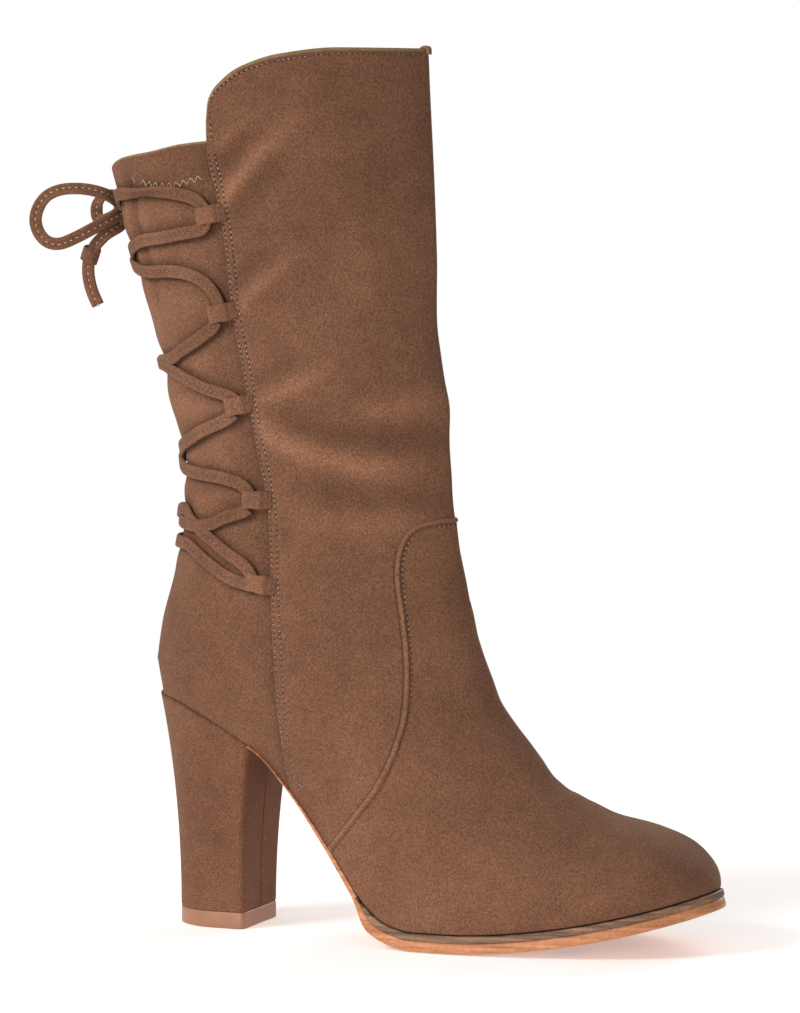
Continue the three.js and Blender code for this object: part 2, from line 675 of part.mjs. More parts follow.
// Side view place of a loop's middle, or of a point `rise` above it
function loopPlace(index, rise = 0) {
  const up = LOOP_UPS[index];
  const x = panelEdgeAt(up) * ANKLE_DEPTH - CLEARANCE - LOOP_LENGTH / 2 - PANEL_STEP;
  return onShaft(x, HEEL_HEIGHT + up * SHAFT_HEIGHT + rise);
}

// Folded strip of suede, seen from above as a flat ring that the lace passes through
function makeLoop(index, side) {
  const outline = new THREE.Shape();
  const [x, y] = [LOOP_LENGTH / 2, LOOP_THICK / 2];
  outline.moveTo(-x, -y).lineTo(x - y, -y).absarc(x - y, 0, y, -Math.PI / 2, Math.PI / 2).lineTo(-x, y);
  const slot = new THREE.Path();
  const slotLength = LACE_WIDTH + LOOP_PLAY;
  const from = x - LOOP_PLY - slotLength;
  slot.moveTo(from, -SLOT_THICK / 2).lineTo(from, SLOT_THICK / 2);
  slot.lineTo(from + slotLength, SLOT_THICK / 2).lineTo(from + slotLength, -SLOT_THICK / 2);
  outline.holes.push(slot);
  const geometry = new THREE.ExtrudeGeometry(outline, {
    depth: LOOP_TALL,
    bevelEnabled: false,
    curveSegments: LOOP_SEGMENTS,
  });
  geometry.translate(0, 0, -LOOP_TALL / 2);
  const { row, turn } = loopPlace(index);
  const { point, normal } = goreSurface(row, side * turn);
  const above = goreSurface(row - 0.1, side * turn).point;
  const rise = above.sub(point).projectOnPlane(normal).normalize();
  const rearward = new THREE.Vector3().crossVectors(normal, rise);
  if (rearward.x > 0) rearward.negate();
  const across = new THREE.Vector3().crossVectors(rise, rearward);
  const mesh = meshOf(`lace_loop_${side < 0 ? 'outer' : 'inner'}_${index + 1}`, solid(geometry), laceSuede);
  mesh.quaternion.setFromRotationMatrix(new THREE.Matrix4().makeBasis(rearward, across, rise));
  mesh.position.copy(point).addScaledVector(normal, SLOT_MIDDLE);
  return mesh;
}

// Flat lace laid over the gore between two places, at `backRow` in its middle; `hump` lifts it there
function strand(from, to, backRow, hump) {
  const rest = LACE_LIFT + LACE_THICK / 2;
  const bend = backRow - (from.row + to.row) / 2;
  const path = Array.from({ length: STRAND_STEPS + 1 }, (_, i) => {
    const share = i / STRAND_STEPS;
    const row = THREE.MathUtils.lerp(from.row, to.row, share) + bend * Math.sin(Math.PI * share);
    const turn = THREE.MathUtils.lerp(from.turn, to.turn, share);
    const { point, normal } = goreSurface(row, turn);
    const atLoop = (2 * Math.abs(share - 0.5)) ** 4;
    const over = Math.exp(-(((share - 0.5) / HUMP_SHARE) ** 2));
    const lift = THREE.MathUtils.lerp(rest, SLOT_MIDDLE, atLoop) + hump * over;
    return { centre: point.addScaledVector(normal, lift), normal };
  });
  const rings = path.map(({ centre, normal }, i) => {
    const ahead = path[Math.min(i + 1, STRAND_STEPS)].centre;
    const behind = path[Math.max(i - 1, 0)].centre;
    const wide = ahead.clone().sub(behind).cross(normal).normalize().multiplyScalar(LACE_WIDTH / 2);
    const thick = normal.clone().multiplyScalar(LACE_THICK / 2);
    return [[-1, -1], [-1, 1], [1, 1], [1, -1]].map(([a, b]) =>
      centre.clone().addScaledVector(wide, a).addScaledVector(thick, b));
  });
  return loft(rings);
}

// End of a strand at a loop: above it (rise 1) or below it (rise -1), on one side
function strandEnd(index, rise, side) {
  const away = LOOP_TALL / 2 + LACE_WIDTH / 2 + 3 * CLEARANCE;
  const { row, turn } = loopPlace(index, rise * away);
  return { row, turn: side * turn };
}

function makeCrossing(index) {
  const backRow = rowAtBack(CROSSING_UPS[index]);
  const one = strand(strandEnd(index, -1, -1), strandEnd(index + 1, 1, 1), backRow, 0);
  const other = strand(strandEnd(index, -1, 1), strandEnd(index + 1, 1, -1), backRow, LACE_THICK / 2);
  return one.add(other);
}

function makeBar(index, rise, up) {
  return strand(strandEnd(index, rise, -1), strandEnd(index, rise, 1), rowAtBack(up), 0);
}

// Knot, bow and ends of the lace, behind the gore's top. The routes stay as chosen.
const KNOT_PLACE = [-46, 9, 283];
const KNOT_SIZE = [3.2, 4.4, 4.4];
const BOW_OUTER = [
  [-46.5, 4.1, 286], [-46.4, -1, 287.6], [-48, -6, 289.6], [-52.5, -9.5, 291.2], [-58, -12, 291.8],
  [-64.3, -13, 291.2], [-69.6, -14, 288.8], [-73.3, -14, 284.4], [-74.7, -14, 279.2], [-73.4, -13.5, 274.1],
  [-69.7, -13, 270.5], [-64.9, -12, 269.9], [-58.8, -11, 272.2], [-52.5, -9, 275.6], [-46.8, -5, 279.2],
  [-44.2, 0.5, 281.6], [-45.8, 4.2, 282.6],
];
const BOW_INNER = [
  [-49.4, 9.5, 286.4], [-53, 11.5, 289], [-58, 15, 288.4], [-62.2, 18, 285.6], [-63.8, 20, 282],
  [-62.3, 19, 279.2], [-57.5, 15.5, 279.2], [-52.8, 12, 280.4], [-49.5, 9.6, 281.8],
];
const END_OUTER = [
  [-46.2, 5.4, 278.9], [-44.9, 2, 277.2], [-45.2, -1.5, 276], [-48, -4.5, 273.8], [-50.9, -5.5, 270.9],
  [-52.4, -6, 268.9],
];
const TAIL_OUTER = [
  [-55.3, -6, 261.8], [-55.4, -6, 258], [-54.7, -6, 253.8], [-53.2, -6, 249.5], [-51.2, -6, 245.5],
];
const END_INNER = [[-45.8, 12.9, 279.6], [-44.5, 16, 276.5], [-42.8, 19.5, 272], [-41.5, 22, 267.2]];
const TAIL_INNER = [[-40.4, 24.3, 259.8], [-40, 25, 255], [-39.8, 25.3, 250], [-39.6, 25.5, 246]];
const TIP_KNOT_OUTER = [-54.4, -6, 265.4];
const TIP_KNOT_INNER = [-40.9, 23.5, 263.6];
const TIP_KNOT_SIZE = [3.4, 3.2, 3.3];

function makeCord(name, points) {
  const path = new THREE.CatmullRomCurve3(points.map((point) => new THREE.Vector3(...point)));
  const section = new THREE.Shape().absarc(0, 0, CORD_DIAMETER / 2, 0, 2 * Math.PI);
  const geometry = new THREE.ExtrudeGeometry(section, {
    extrudePath: path,
    steps: Math.ceil(path.getLength() / CORD_STEP),
    curveSegments: CORD_SEGMENTS,
  });
  return meshOf(name, solid(geometry), laceSuede);
}

function makeKnot(name, place, size) {
  const geometry = new THREE.SphereGeometry(1, KNOT_SEGMENTS, KNOT_SEGMENTS).scale(...size);
  const mesh = meshOf(name, solid(geometry), laceSuede);
  mesh.position.set(...place);
  return mesh;
}

const boot = new THREE.Group();
boot.name = 'back_lace_ankle_boot';
boot.add(
  meshOf('upper', makeUpper(), suede),
  meshOf('insole', makeInsole(), lining),
  meshOf('midsole', makeMidsole(), stackedLeather),
  meshOf('outsole', makeOutsole(), soleLeather),
  meshOf('heel', makeHeel(), suede),
  meshOf('heel_tip', makeHeelTip(), tipRubber),
);
for (const side of [-1, 1]) LOOP_UPS.forEach((_, index) => boot.add(makeLoop(index, side)));
for (let index = 0; index + 1 < LOOP_UPS.length; index++) {
  boot.add(meshOf(`lace_crossing_${index + 1}`, makeCrossing(index), laceSuede));
}
boot.add(
  meshOf('lace_bar_top', makeBar(0, 1, TOP_BAR_UP), laceSuede),
  meshOf('lace_bar_low', makeBar(LOOP_UPS.length - 1, -1, LOW_BAR_UP), laceSuede),
  makeKnot('lace_knot', KNOT_PLACE, KNOT_SIZE),
  makeCord('lace_bow_outer', BOW_OUTER),
  makeCord('lace_bow_inner', BOW_INNER),
  makeCord('lace_end_outer', END_OUTER),
  makeCord('lace_tail_outer', TAIL_OUTER),
  makeCord('lace_end_inner', END_INNER),
  makeCord('lace_tail_inner', TAIL_INNER),
  makeKnot('lace_tip_knot_outer', TIP_KNOT_OUTER, TIP_KNOT_SIZE),
  makeKnot('lace_tip_knot_inner', TIP_KNOT_INNER, TIP_KNOT_SIZE),
);

export default boot;
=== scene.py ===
# %% [markdown]
# # A back-lace ankle boot in suede
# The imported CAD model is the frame: every piece below lies on it and rides on its one body, "root".
# The script could colour the CAD solids as they are, but suede shows its nap, creases, folded edges
# and stitches, so each soft piece is rebuilt as a finer mesh over the same sections.

import math

import bmesh
import bpy
import numpy as np
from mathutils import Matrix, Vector, kdtree


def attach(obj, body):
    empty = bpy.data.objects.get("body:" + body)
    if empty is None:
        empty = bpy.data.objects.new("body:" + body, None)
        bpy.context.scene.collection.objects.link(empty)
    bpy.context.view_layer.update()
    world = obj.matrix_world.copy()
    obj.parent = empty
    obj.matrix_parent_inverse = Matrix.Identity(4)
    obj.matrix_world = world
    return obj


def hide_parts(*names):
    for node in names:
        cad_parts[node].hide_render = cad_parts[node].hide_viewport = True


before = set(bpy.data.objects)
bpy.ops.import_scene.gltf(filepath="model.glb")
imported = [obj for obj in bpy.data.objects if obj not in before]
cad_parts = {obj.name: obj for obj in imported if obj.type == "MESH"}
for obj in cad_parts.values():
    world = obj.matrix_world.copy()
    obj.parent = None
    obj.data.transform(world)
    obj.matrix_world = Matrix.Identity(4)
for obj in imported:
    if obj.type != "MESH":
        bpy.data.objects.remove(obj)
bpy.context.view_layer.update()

# %% [markdown]
# ## Camera
# The photograph was taken with a long lens, from the outer side and a little in front. A fitted
# camera gives the distance, and the focal length is set for the photograph's tall frame.

# %% Camera
camera_data = bpy.data.cameras.new("photo_camera")
camera_data.lens = 163.97
camera_data.sensor_width = 36
camera = bpy.data.objects.new("photo_camera", camera_data)
camera.location = (0.7292, -1.6749, 0.310)
camera.rotation_euler = (math.radians(85.489), 0, math.radians(21.319))
bpy.context.scene.collection.objects.link(camera)
bpy.context.scene.camera = camera
print("camera at", tuple(camera.location))

# %% [markdown]
# ## Material helpers
# A finish is a small net of nodes. Reading Object coordinates keeps a pattern on the piece at its
# real size, because each piece lies in the boot's own place. `noise` and `ramp` are the two bricks
# that nearly every leather finish here is built from.

# %% Material helpers
def new_finish(name, roughness):
    """A material with its main shader."""
    material = bpy.data.materials.new(name)
    material.use_nodes = True
    shader = material.node_tree.nodes["Principled BSDF"]
    shader.inputs["Roughness"].default_value = roughness
    return material, shader


def node(tree, kind, links=(), **values):
    """A node with its settings; `links` are (source, name of the socket it goes into)."""
    made = tree.nodes.new(kind)
    for key, value in values.items():
        if key in made.inputs:
            made.inputs[key].default_value = value
        else:
            setattr(made, key, value)
    for source, target in links:
        tree.links.new(source, made.inputs[target])
    return made


def noise(tree, size, detail=4, stretch=None):
    """Noise whose blotches are about `size` metres across."""
    place = node(tree, "ShaderNodeTexCoord").outputs["Object"]
    if stretch:
        place = node(tree, "ShaderNodeMapping", [(place, "Vector")], Scale=stretch).outputs[0]
    made = node(tree, "ShaderNodeTexNoise", [(place, "Vector")], Detail=detail)
    made.inputs["Scale"].default_value = 0.5 / size
    return made.outputs["Fac"]


def ramp(tree, factor, stops):
    """Colours or greys at places from 0 to 1."""
    made = node(tree, "ShaderNodeValToRGB", [(factor, "Fac")])
    band = made.color_ramp.elements
    while len(band) < len(stops):
        band.new(0.5)
    for element, (place, colour) in zip(band, stops):
        element.position = place
        element.color = (*colour, 1) if len(colour) == 3 else (colour[0],) * 3 + (1,)
    return made.outputs["Color"]


def mixed(tree, kind, share, one, other):
    """Two colours mixed; the share is a number or comes from a node."""
    made = node(tree, "ShaderNodeMix", data_type="RGBA", blend_type=kind)
    made.inputs[0].default_value = share if isinstance(share, float) else 1
    if not isinstance(share, float):
        tree.links.new(share, made.inputs[0])
    for source, socket in ((one, made.inputs[6]), (other, made.inputs[7])):
        if isinstance(source, tuple):
            socket.default_value = (*source, 1)
        else:
            tree.links.new(source, socket)
    return made.outputs[2]


def bumped(tree, shader, layers):
    """Bumps laid one on another: (height, strength, depth in metres)."""
    under = None
    for height, strength, depth in layers:
        made = node(tree, "ShaderNodeBump", [(height, "Height")], Strength=strength, Distance=depth)
        if under:
            tree.links.new(under, made.inputs["Normal"])
        under = made.outputs["Normal"]
    tree.links.new(under, shader.inputs["Normal"])


# %% [markdown]
# ## Suede
# Suede is the flesh side of the hide, sanded to a short nap. Its colour shifts in soft clouds where
# the nap was brushed, with a speckle well under a millimetre, and a faint light fuzz at grazing
# angles. The mesh also carries an attribute of painted light and shade: painted highlights on ridges,
# painted shade in troughs, crevices and under edges. The fuzz is sheen, which comes from the shader.

# %% Suede finishes
CLOUD, STROKE, SPECK = 0.020, 0.0036, 0.00037  # metres across
DEEPEST_SHADE, BRIGHTEST_HIGHLIGHT = 0.36, 1.85  # how far the painted shade darkens at its deepest and the painted highlight lightens at its brightest


def suede_finish(name, dark, middle, light):
    """Suede in three shades, with brush strokes, speckle, and the painted shade and highlights of the mesh's
    attribute.
    """
    material, shader = new_finish(name, 0.95)
    tree = material.node_tree
    clouds = noise(tree, CLOUD, 2)
    brushing_and_shading = noise(tree, STROKE, 3)
    speckle = noise(tree, SPECK, 2)
    colour = ramp(tree, clouds, [(0.3, dark), (0.52, middle), (0.72, light)])
    strokes = ramp(tree, brushing_and_shading, [(0.34, (0.93,)), (0.5, (1.0,)), (0.68, (1.06,))])
    colour = mixed(tree, "MULTIPLY", 1.0, colour, strokes)
    specks = ramp(tree, speckle, [(0.35, (0.70,)), (0.5, (1.0,)), (0.66, (1.40,))])
    colour = mixed(tree, "MULTIPLY", 0.85, colour, specks)
    # painted light and shade: the mesh's attribute darkens troughs, crevices and places under edges, and
    # lightens ridges
    painted_shading = node(tree, "ShaderNodeAttribute", attribute_name="painted_shading").outputs["Fac"]
    shade = ramp(tree, painted_shading, [(0.0, (DEEPEST_SHADE,)), (0.5, (1.0,)), (1.0, (BRIGHTEST_HIGHLIGHT,))])
    colour = mixed(tree, "MULTIPLY", 1.0, colour, shade)
    tree.links.new(colour, shader.inputs["Base Color"])
    shader.inputs["Specular IOR Level"].default_value = 0.15
    shader.inputs["Sheen Weight"].default_value = 0.10
    shader.inputs["Sheen Roughness"].default_value = 0.55
    shader.inputs["Sheen Tint"].default_value = (0.9, 0.62, 0.45, 1)
    bumped(tree, shader, [(brushing_and_shading, 0.3, 0.0004), (speckle, 1.0, 0.0002)])
    return material


SUEDES = {  # dark, middle and light shade
    "boot_suede": ((0.136, 0.0605, 0.0335), (0.154, 0.0695, 0.0385), (0.176, 0.0805, 0.0455)),
    "gore_suede": ((0.124, 0.0545, 0.0300), (0.142, 0.0635, 0.0350), (0.164, 0.0745, 0.0420)),
    "lace_suede": ((0.122, 0.0530, 0.0295), (0.150, 0.0665, 0.0375), (0.190, 0.0870, 0.0505)),
    "heel_suede": ((0.124, 0.0540, 0.0300), (0.142, 0.0630, 0.0345), (0.162, 0.0730, 0.0410)),
}
BOOT_SUEDE, GORE_SUEDE, LACE_SUEDE, HEEL_SUEDE = (
    suede_finish(name, *shades) for name, shades in SUEDES.items())
print("suede finishes made")

# %% [markdown]
# ## The other finishes
# The lining is smooth pigskin with fine pores. The midsole's edge is stacked leather, stained dark,
# with long streaks along it. The outsole's edge is waxed and lighter. The heel's top piece is
# moulded plastic, nearly even, with a satin gloss. Thread is waxed polyester, light where it faces
# up. Needle holes are painted nearly black, as the shade inside them, and the cut edge of the suede
# shows its olive core.

# %% Other finishes
def streaked_finish(name, dark, light, roughness, streak, bump):
    """A cut leather edge, with streaks that run along it."""
    material, shader = new_finish(name, roughness)
    shader.inputs["Specular IOR Level"].default_value = 0.25
    tree = material.node_tree
    grain = noise(tree, streak, 5, stretch=(0.08, 0.08, 1.6))
    fine = noise(tree, 0.0008, 4)
    colour = ramp(tree, grain, [(0.3, dark), (0.7, light)])
    colour = mixed(tree, "MULTIPLY", 0.5, colour, ramp(tree, fine, [(0.35, (0.75,)), (0.65, (1.2,))]))
    tree.links.new(colour, shader.inputs["Base Color"])
    bumped(tree, shader, [(grain, 0.4, bump), (fine, 0.3, bump * 0.6)])
    return material


def even_finish(name, dark, light, roughness, size, bump):
    """A finish that shifts softly between two shades, with fine pores."""
    material, shader = new_finish(name, roughness)
    tree = material.node_tree
    cloud = noise(tree, size, 4)
    pores = noise(tree, 0.0005, 2)
    tree.links.new(ramp(tree, cloud, [(0.3, dark), (0.7, light)]), shader.inputs["Base Color"])
    bumped(tree, shader, [(cloud, 0.2, bump), (pores, 0.4, bump * 0.5)])
    return material


LINING = even_finish("pigskin_lining", (0.45, 0.28, 0.16), (0.55, 0.36, 0.22), 0.62, 0.01, 0.0003)
MIDSOLE_EDGE = streaked_finish(
    "stacked_leather_edge", (0.055, 0.030, 0.019), (0.30, 0.165, 0.098), 0.55, 0.0009, 0.0003)
OUTSOLE_EDGE = streaked_finish(
    "waxed_leather_edge", (0.32, 0.118, 0.048), (0.60, 0.265, 0.125), 0.42, 0.0012, 0.00018)
TOP_PIECE = even_finish("top_piece_plastic", (0.27, 0.122, 0.064), (0.32, 0.148, 0.080), 0.42, 0.006, 0.00008)
THREAD = even_finish("waxed_thread", (0.15, 0.08, 0.05), (0.60, 0.43, 0.31), 0.5, 0.0022, 0.0001)
# the lace's one thread, painted in two copies: dark as painted shade where the strands lie over the gore,
# light as a painted highlight where the lace hangs free
SHADED_LACE_THREAD = even_finish("shaded_lace_thread", (0.07, 0.032, 0.018), (0.36, 0.23, 0.155), 0.5, 0.004, 0.0001)
PALE_THREAD = even_finish("pale_thread", (0.32, 0.21, 0.14), (0.60, 0.44, 0.32), 0.5, 0.002, 0.0001)
LIT_LACE_THREAD = even_finish("lit_lace_thread", (0.66, 0.55, 0.40), (0.80, 0.68, 0.52), 0.45, 0.002, 0.0001)
# painted shade: nearly black ovals stand for the shade inside the needle holes
HOLE_SHADE = even_finish("needle_hole_shade", (0.018, 0.009, 0.006), (0.035, 0.018, 0.012), 0.95, 0.002, 0.0001)
RAW_EDGE = even_finish("olive_raw_edge", (0.17, 0.105, 0.042), (0.25, 0.16, 0.07), 0.95, 0.0012, 0.0003)
print("leather, plastic and thread finishes made")

# %% [markdown]
# ## The last in numbers
# A boot is made over a last. This one is a family of sections: each runs from a back point Q to a
# front point P in side view, and bulges to both sides. The same tables shape the CAD model, in
# millimetres, so a place on the boot is a row number, a turn from back to front, a side and a depth.

# %% Smooth curves through tables
def curve(at, values):
    """Smooth curve through a table, which never overshoots it."""
    at, values = np.array(at, float), np.array(values, float)
    slope = np.diff(values) / np.diff(at)
    tangent = np.concatenate([slope[:1], np.zeros(len(at) - 2), slope[-1:]])
    same = slope[:-1] * slope[1:] > 0
    total = np.where(same, slope[:-1] + slope[1:], 1)
    tangent[1:-1] = np.where(same, 2 * slope[:-1] * slope[1:] / total, 0)

    def read(x):
        x = np.asarray(x, float)
        i = np.clip(np.searchsorted(at, x) - 1, 0, len(at) - 2)
        span = at[i + 1] - at[i]
        t = np.clip((x - at[i]) / span, 0, 1)
        rise = values[i + 1] - values[i]
        m0, m1 = tangent[i] * span, tangent[i + 1] * span
        return values[i] + t * (m0 + t * (3 * rise - 2 * m0 - m1 + t * (m0 + m1 - 2 * rise)))

    return read


def lerp(a, b, share):
    """Straight from a to b."""
    return a + (b - a) * share


TOE_REACH, HEEL_SEAT_REAR, HEEL_HEIGHT, SHAFT_HEIGHT = 204.3, 25.5, 92.5, 254
BALL_WIDTH, CALF_WIDTH, ANKLE_DEPTH, STACK, TOE_SPRING = 79, 74, 106, 7.8, 16
SHAFT = np.array([  # up, back, reach, rise, wide, crease
    [0.960, -0.536, 1.351, 0.270, 0.505, 0.72], [0.890, -0.484, 1.309, 0.160, 0.500, 0.74],
    [0.792, -0.414, 1.256, 0.075, 0.490, 0.76], [0.677, -0.333, 1.188, 0.028, 0.470, 0.76],
    [0.563, -0.248, 1.109, 0.000, 0.447, 0.76], [0.449, -0.186, 1.085, 0.009, 0.425, 0.76],
    [0.355, -0.135, 1.042, 0.050, 0.412, 0.75], [0.270, -0.146, 1.065, 0.108, 0.408, 0.72],
    [0.190, -0.186, 1.116, 0.180, 0.408, 0.68], [0.110, -0.240, 1.185, 0.273, 0.412, 0.64],
    [0.050, -0.263, 1.226, 0.333, 0.418, 0.61]])
FOOT = np.array([  # along, reach, rise, wide, crease, ridge
    [0.000, 1.219, 0.375, 0.392, 0.60, 0.000], [0.026, 1.175, 0.339, 0.392, 0.60, 0.000],
    [0.090, 1.055, 0.289, 0.392, 0.59, 0.000], [0.163, 0.923, 0.286, 0.390, 0.58, 0.002],
    [0.246, 0.785, 0.288, 0.388, 0.57, 0.006], [0.329, 0.678, 0.358, 0.395, 0.56, 0.012],
    [0.407, 0.623, 0.419, 0.425, 0.55, 0.020], [0.494, 0.559, 0.458, 0.475, 0.54, 0.028],
    [0.598, 0.465, 0.408, 0.512, 0.52, 0.036], [0.703, 0.354, 0.364, 0.512, 0.50, 0.044],
    [0.797, 0.241, 0.305, 0.500, 0.48, 0.050], [0.874, 0.148, 0.236, 0.500, 0.46, 0.052],
    [0.933, 0.071, 0.165, 0.500, 0.45, 0.051], [0.976, 0.017, 0.100, 0.500, 0.45, 0.050],
    [0.996, -0.003, 0.050, 0.500, 0.45, 0.050], [1.000, 0.000, 0.000, 0.500, 0.45, 0.050]])
FOOT_START = len(SHAFT)
LAST_ROW = FOOT_START + len(FOOT) - 1
up_at, back_at, reach_at, rise_at, wide_at, crease_at = (
    curve(range(len(SHAFT)), column) for column in SHAFT.T)
along_at, foot_reach_at, foot_rise_at, foot_wide_at, foot_crease_at, ridge_at = (
    curve(range(len(FOOT)), column) for column in FOOT.T)
lift_at = curve(
    [-0.117, -0.058, 0, 0.063, 0.131, 0.184, 0.233, 0.277, 0.320, 0.364, 0.417, 0.471, 1.1],
    [1, 0.978, 0.918, 0.840, 0.745, 0.620, 0.490, 0.366, 0.236, 0.111, 0.026, 0, 0])
PLAN = np.array([
    [0, 0.291, 0], [0.097, 0.310, -0.006], [0.194, 0.312, -0.025], [0.282, 0.354, -0.038],
    [0.379, 0.430, -0.040], [0.476, 0.485, -0.032], [0.573, 0.500, -0.013], [0.670, 0.491, 0.004],
    [0.728, 0.477, 0.015], [1.000, 0.477, 0.050], [1.1, 0.477, 0.050]])
half_at, swing_at = curve(PLAN[:, 0], PLAN[:, 1]), curve(PLAN[:, 0], PLAN[:, 2])
TOE_START = 0.728 * TOE_REACH


def feather_height(x):
    """Height of the line where the upper meets the sole."""
    share = x / TOE_REACH
    spring = np.maximum(0, (share - 0.55) / 0.45) ** 1.7
    return STACK + lift_at(share) * (HEEL_HEIGHT - STACK) + TOE_SPRING * spring


def end_round(x, grow):
    """How much of its width the plan keeps where it rounds off at the seat and the toe."""
    toe = (x - TOE_START) / (TOE_REACH + grow - TOE_START)
    over = np.where(x > TOE_START, toe, -x / (HEEL_SEAT_REAR + grow))
    return np.sqrt(np.maximum(0, 1 - np.maximum(0, over) ** 2))


def plan_half(x, grow):
    """Half the width of the sole in plan, grown by `grow`."""
    return (half_at(x / TOE_REACH) * BALL_WIDTH + grow) * end_round(x, grow)


print("last of", LAST_ROW + 1, "sections")

# %% [markdown]
# ## The skin of the last
# `skin` turns rows, turns, a side and a depth below the outer surface into points, for whole arrays
# at once. `find_place` goes the other way, from a place in the side view to its row and turn. Seams
# are drawn in the side view, as a pattern cutter draws them on the last.

# %% Points on the skin
def spine(row):
    """Back point Q and front point P of a row, in side view."""
    row = np.asarray(row, float)
    r = np.clip(row, 0, FOOT_START - 1)
    q = np.stack([back_at(r) * ANKLE_DEPTH, HEEL_HEIGHT + up_at(r) * SHAFT_HEIGHT], -1)
    p = q + np.stack([reach_at(r), rise_at(r)], -1) * ANKLE_DEPTH
    f = np.maximum(row - FOOT_START, 0)
    x = lerp(-HEEL_SEAT_REAR, TOE_REACH, along_at(f))
    foot_q = np.stack([x, feather_height(x)], -1)
    foot_p = foot_q + np.stack([foot_reach_at(f), foot_rise_at(f)], -1) * ANKLE_DEPTH
    share = np.clip(row - (FOOT_START - 1), 0, 1)[..., None]
    return lerp(q, foot_q, share), lerp(p, foot_p, share)


def profile_normal(row, which, side):
    """Direction square to the back or front line in side view."""
    before = spine(np.maximum(0, row - 0.05))[which]
    after = spine(np.minimum(LAST_ROW, row + 0.05))[which]
    normal = np.stack([-(after - before)[..., 1], (after - before)[..., 0]], -1) * side
    return normal / np.linalg.norm(normal, axis=-1, keepdims=True)


def bell(t, crease):
    """Width of a section from its back to its front crease."""
    return np.sqrt(t) * (1 - t) ** crease


def start_of(share, crease):
    """Where the section starts so that it is as wide as the feather line there."""
    low, high = np.zeros_like(share), 0.5 / (0.5 + crease)
    wanted = np.minimum(share, 0.985) * bell(high, crease)
    for _ in range(30):
        middle = (low + high) / 2
        below = bell(middle, crease) < wanted
        low, high = np.where(below, middle, low), np.where(below, high, middle)
    return np.where(share <= 0, 0, low)


def skin(row, turn, side, depth=0.0):
    """Points in millimetres, `depth` below the boot's outer surface."""
    row, turn, side, depth = np.broadcast_arrays(
        *(np.asarray(value, float) for value in (row, turn, side, depth)))
    q, p = spine(row)
    p = p - profile_normal(row, 1, 1) * depth[..., None]
    foot = row >= FOOT_START
    f = np.maximum(row - FOOT_START, 0)
    r = np.minimum(row, FOOT_START - 1)
    x = lerp(-HEEL_SEAT_REAR + depth, TOE_REACH - depth, along_at(f))
    start = plan_half(x, -depth)
    toe = np.where(x > 0, end_round(x, -depth), 1)
    foot_half = np.maximum((foot_wide_at(f) * BALL_WIDTH - depth) * toe, start)
    shaft_q = q - profile_normal(row, 0, -1) * depth[..., None]
    q = np.where(foot[..., None], np.stack([x, feather_height(x)], -1), shaft_q)
    half = np.where(foot, foot_half, wide_at(r) * CALF_WIDTH - depth)
    swing = np.where(foot, swing_at(x / TOE_REACH) * BALL_WIDTH, 0)
    ridge = np.where(foot, ridge_at(f) * BALL_WIDTH, 0)
    crease = np.where(foot, foot_crease_at(f), crease_at(r))
    first = start_of(np.where(foot, start / np.maximum(half, 1e-9), 0), crease)
    share = (1 - np.cos(np.pi * np.clip(turn, 0, 1))) / 2
    t = lerp(first, 1, share)
    out = np.where(turn >= 1, 0, half * bell(t, crease) / bell(0.5 / (0.5 + crease), crease))
    return np.stack([
        lerp(q[..., 0], p[..., 0], share),
        lerp(swing, ridge, share) + side * out,
        lerp(q[..., 1], p[..., 1], share)], -1)


def find_place(x, z):
    """Row and turn of the places that show at (x, z) in side view."""
    target = np.stack([np.asarray(x, float), np.asarray(z, float)], -1)
    low, high = np.zeros(target.shape[:-1]), np.full(target.shape[:-1], float(LAST_ROW))
    for _ in range(40):
        middle = (low + high) / 2
        q, p = spine(middle)
        along, to = p - q, target - q
        under = along[..., 0] * to[..., 1] - along[..., 1] * to[..., 0] < 0
        low, high = np.where(under, middle, low), np.where(under, high, middle)
    q, p = spine(low)
    share = ((target - q) * (p - q)).sum(-1) / ((p - q) ** 2).sum(-1)
    return low, np.arccos(1 - 2 * np.clip(share, 0, 1)) / np.pi


def outward(row, turn, side, depth=0.0):
    """Unit normals of the skin, away from the foot, with the step along a row and a turn."""
    step = 0.004
    inner, outer = np.maximum(turn - step, 0.0005), np.minimum(turn + step, 0.9995)
    along_turn = (skin(row, outer, side, depth) - skin(row, inner, side, depth)) / (outer - inner)[..., None]
    along_row = (skin(row + step, turn, side, depth) - skin(row - step, turn, side, depth)) / (2 * step)
    normal = np.cross(along_turn, along_row) * np.asarray(side, float)[..., None]
    return normal / np.linalg.norm(normal, axis=-1, keepdims=True), along_row, along_turn


def side_table(rows):
    """Places in side view, from shares of the ankle's depth and of the shaft's height."""
    return np.array([[x * ANKLE_DEPTH, HEEL_HEIGHT + up * SHAFT_HEIGHT] for x, up in rows])


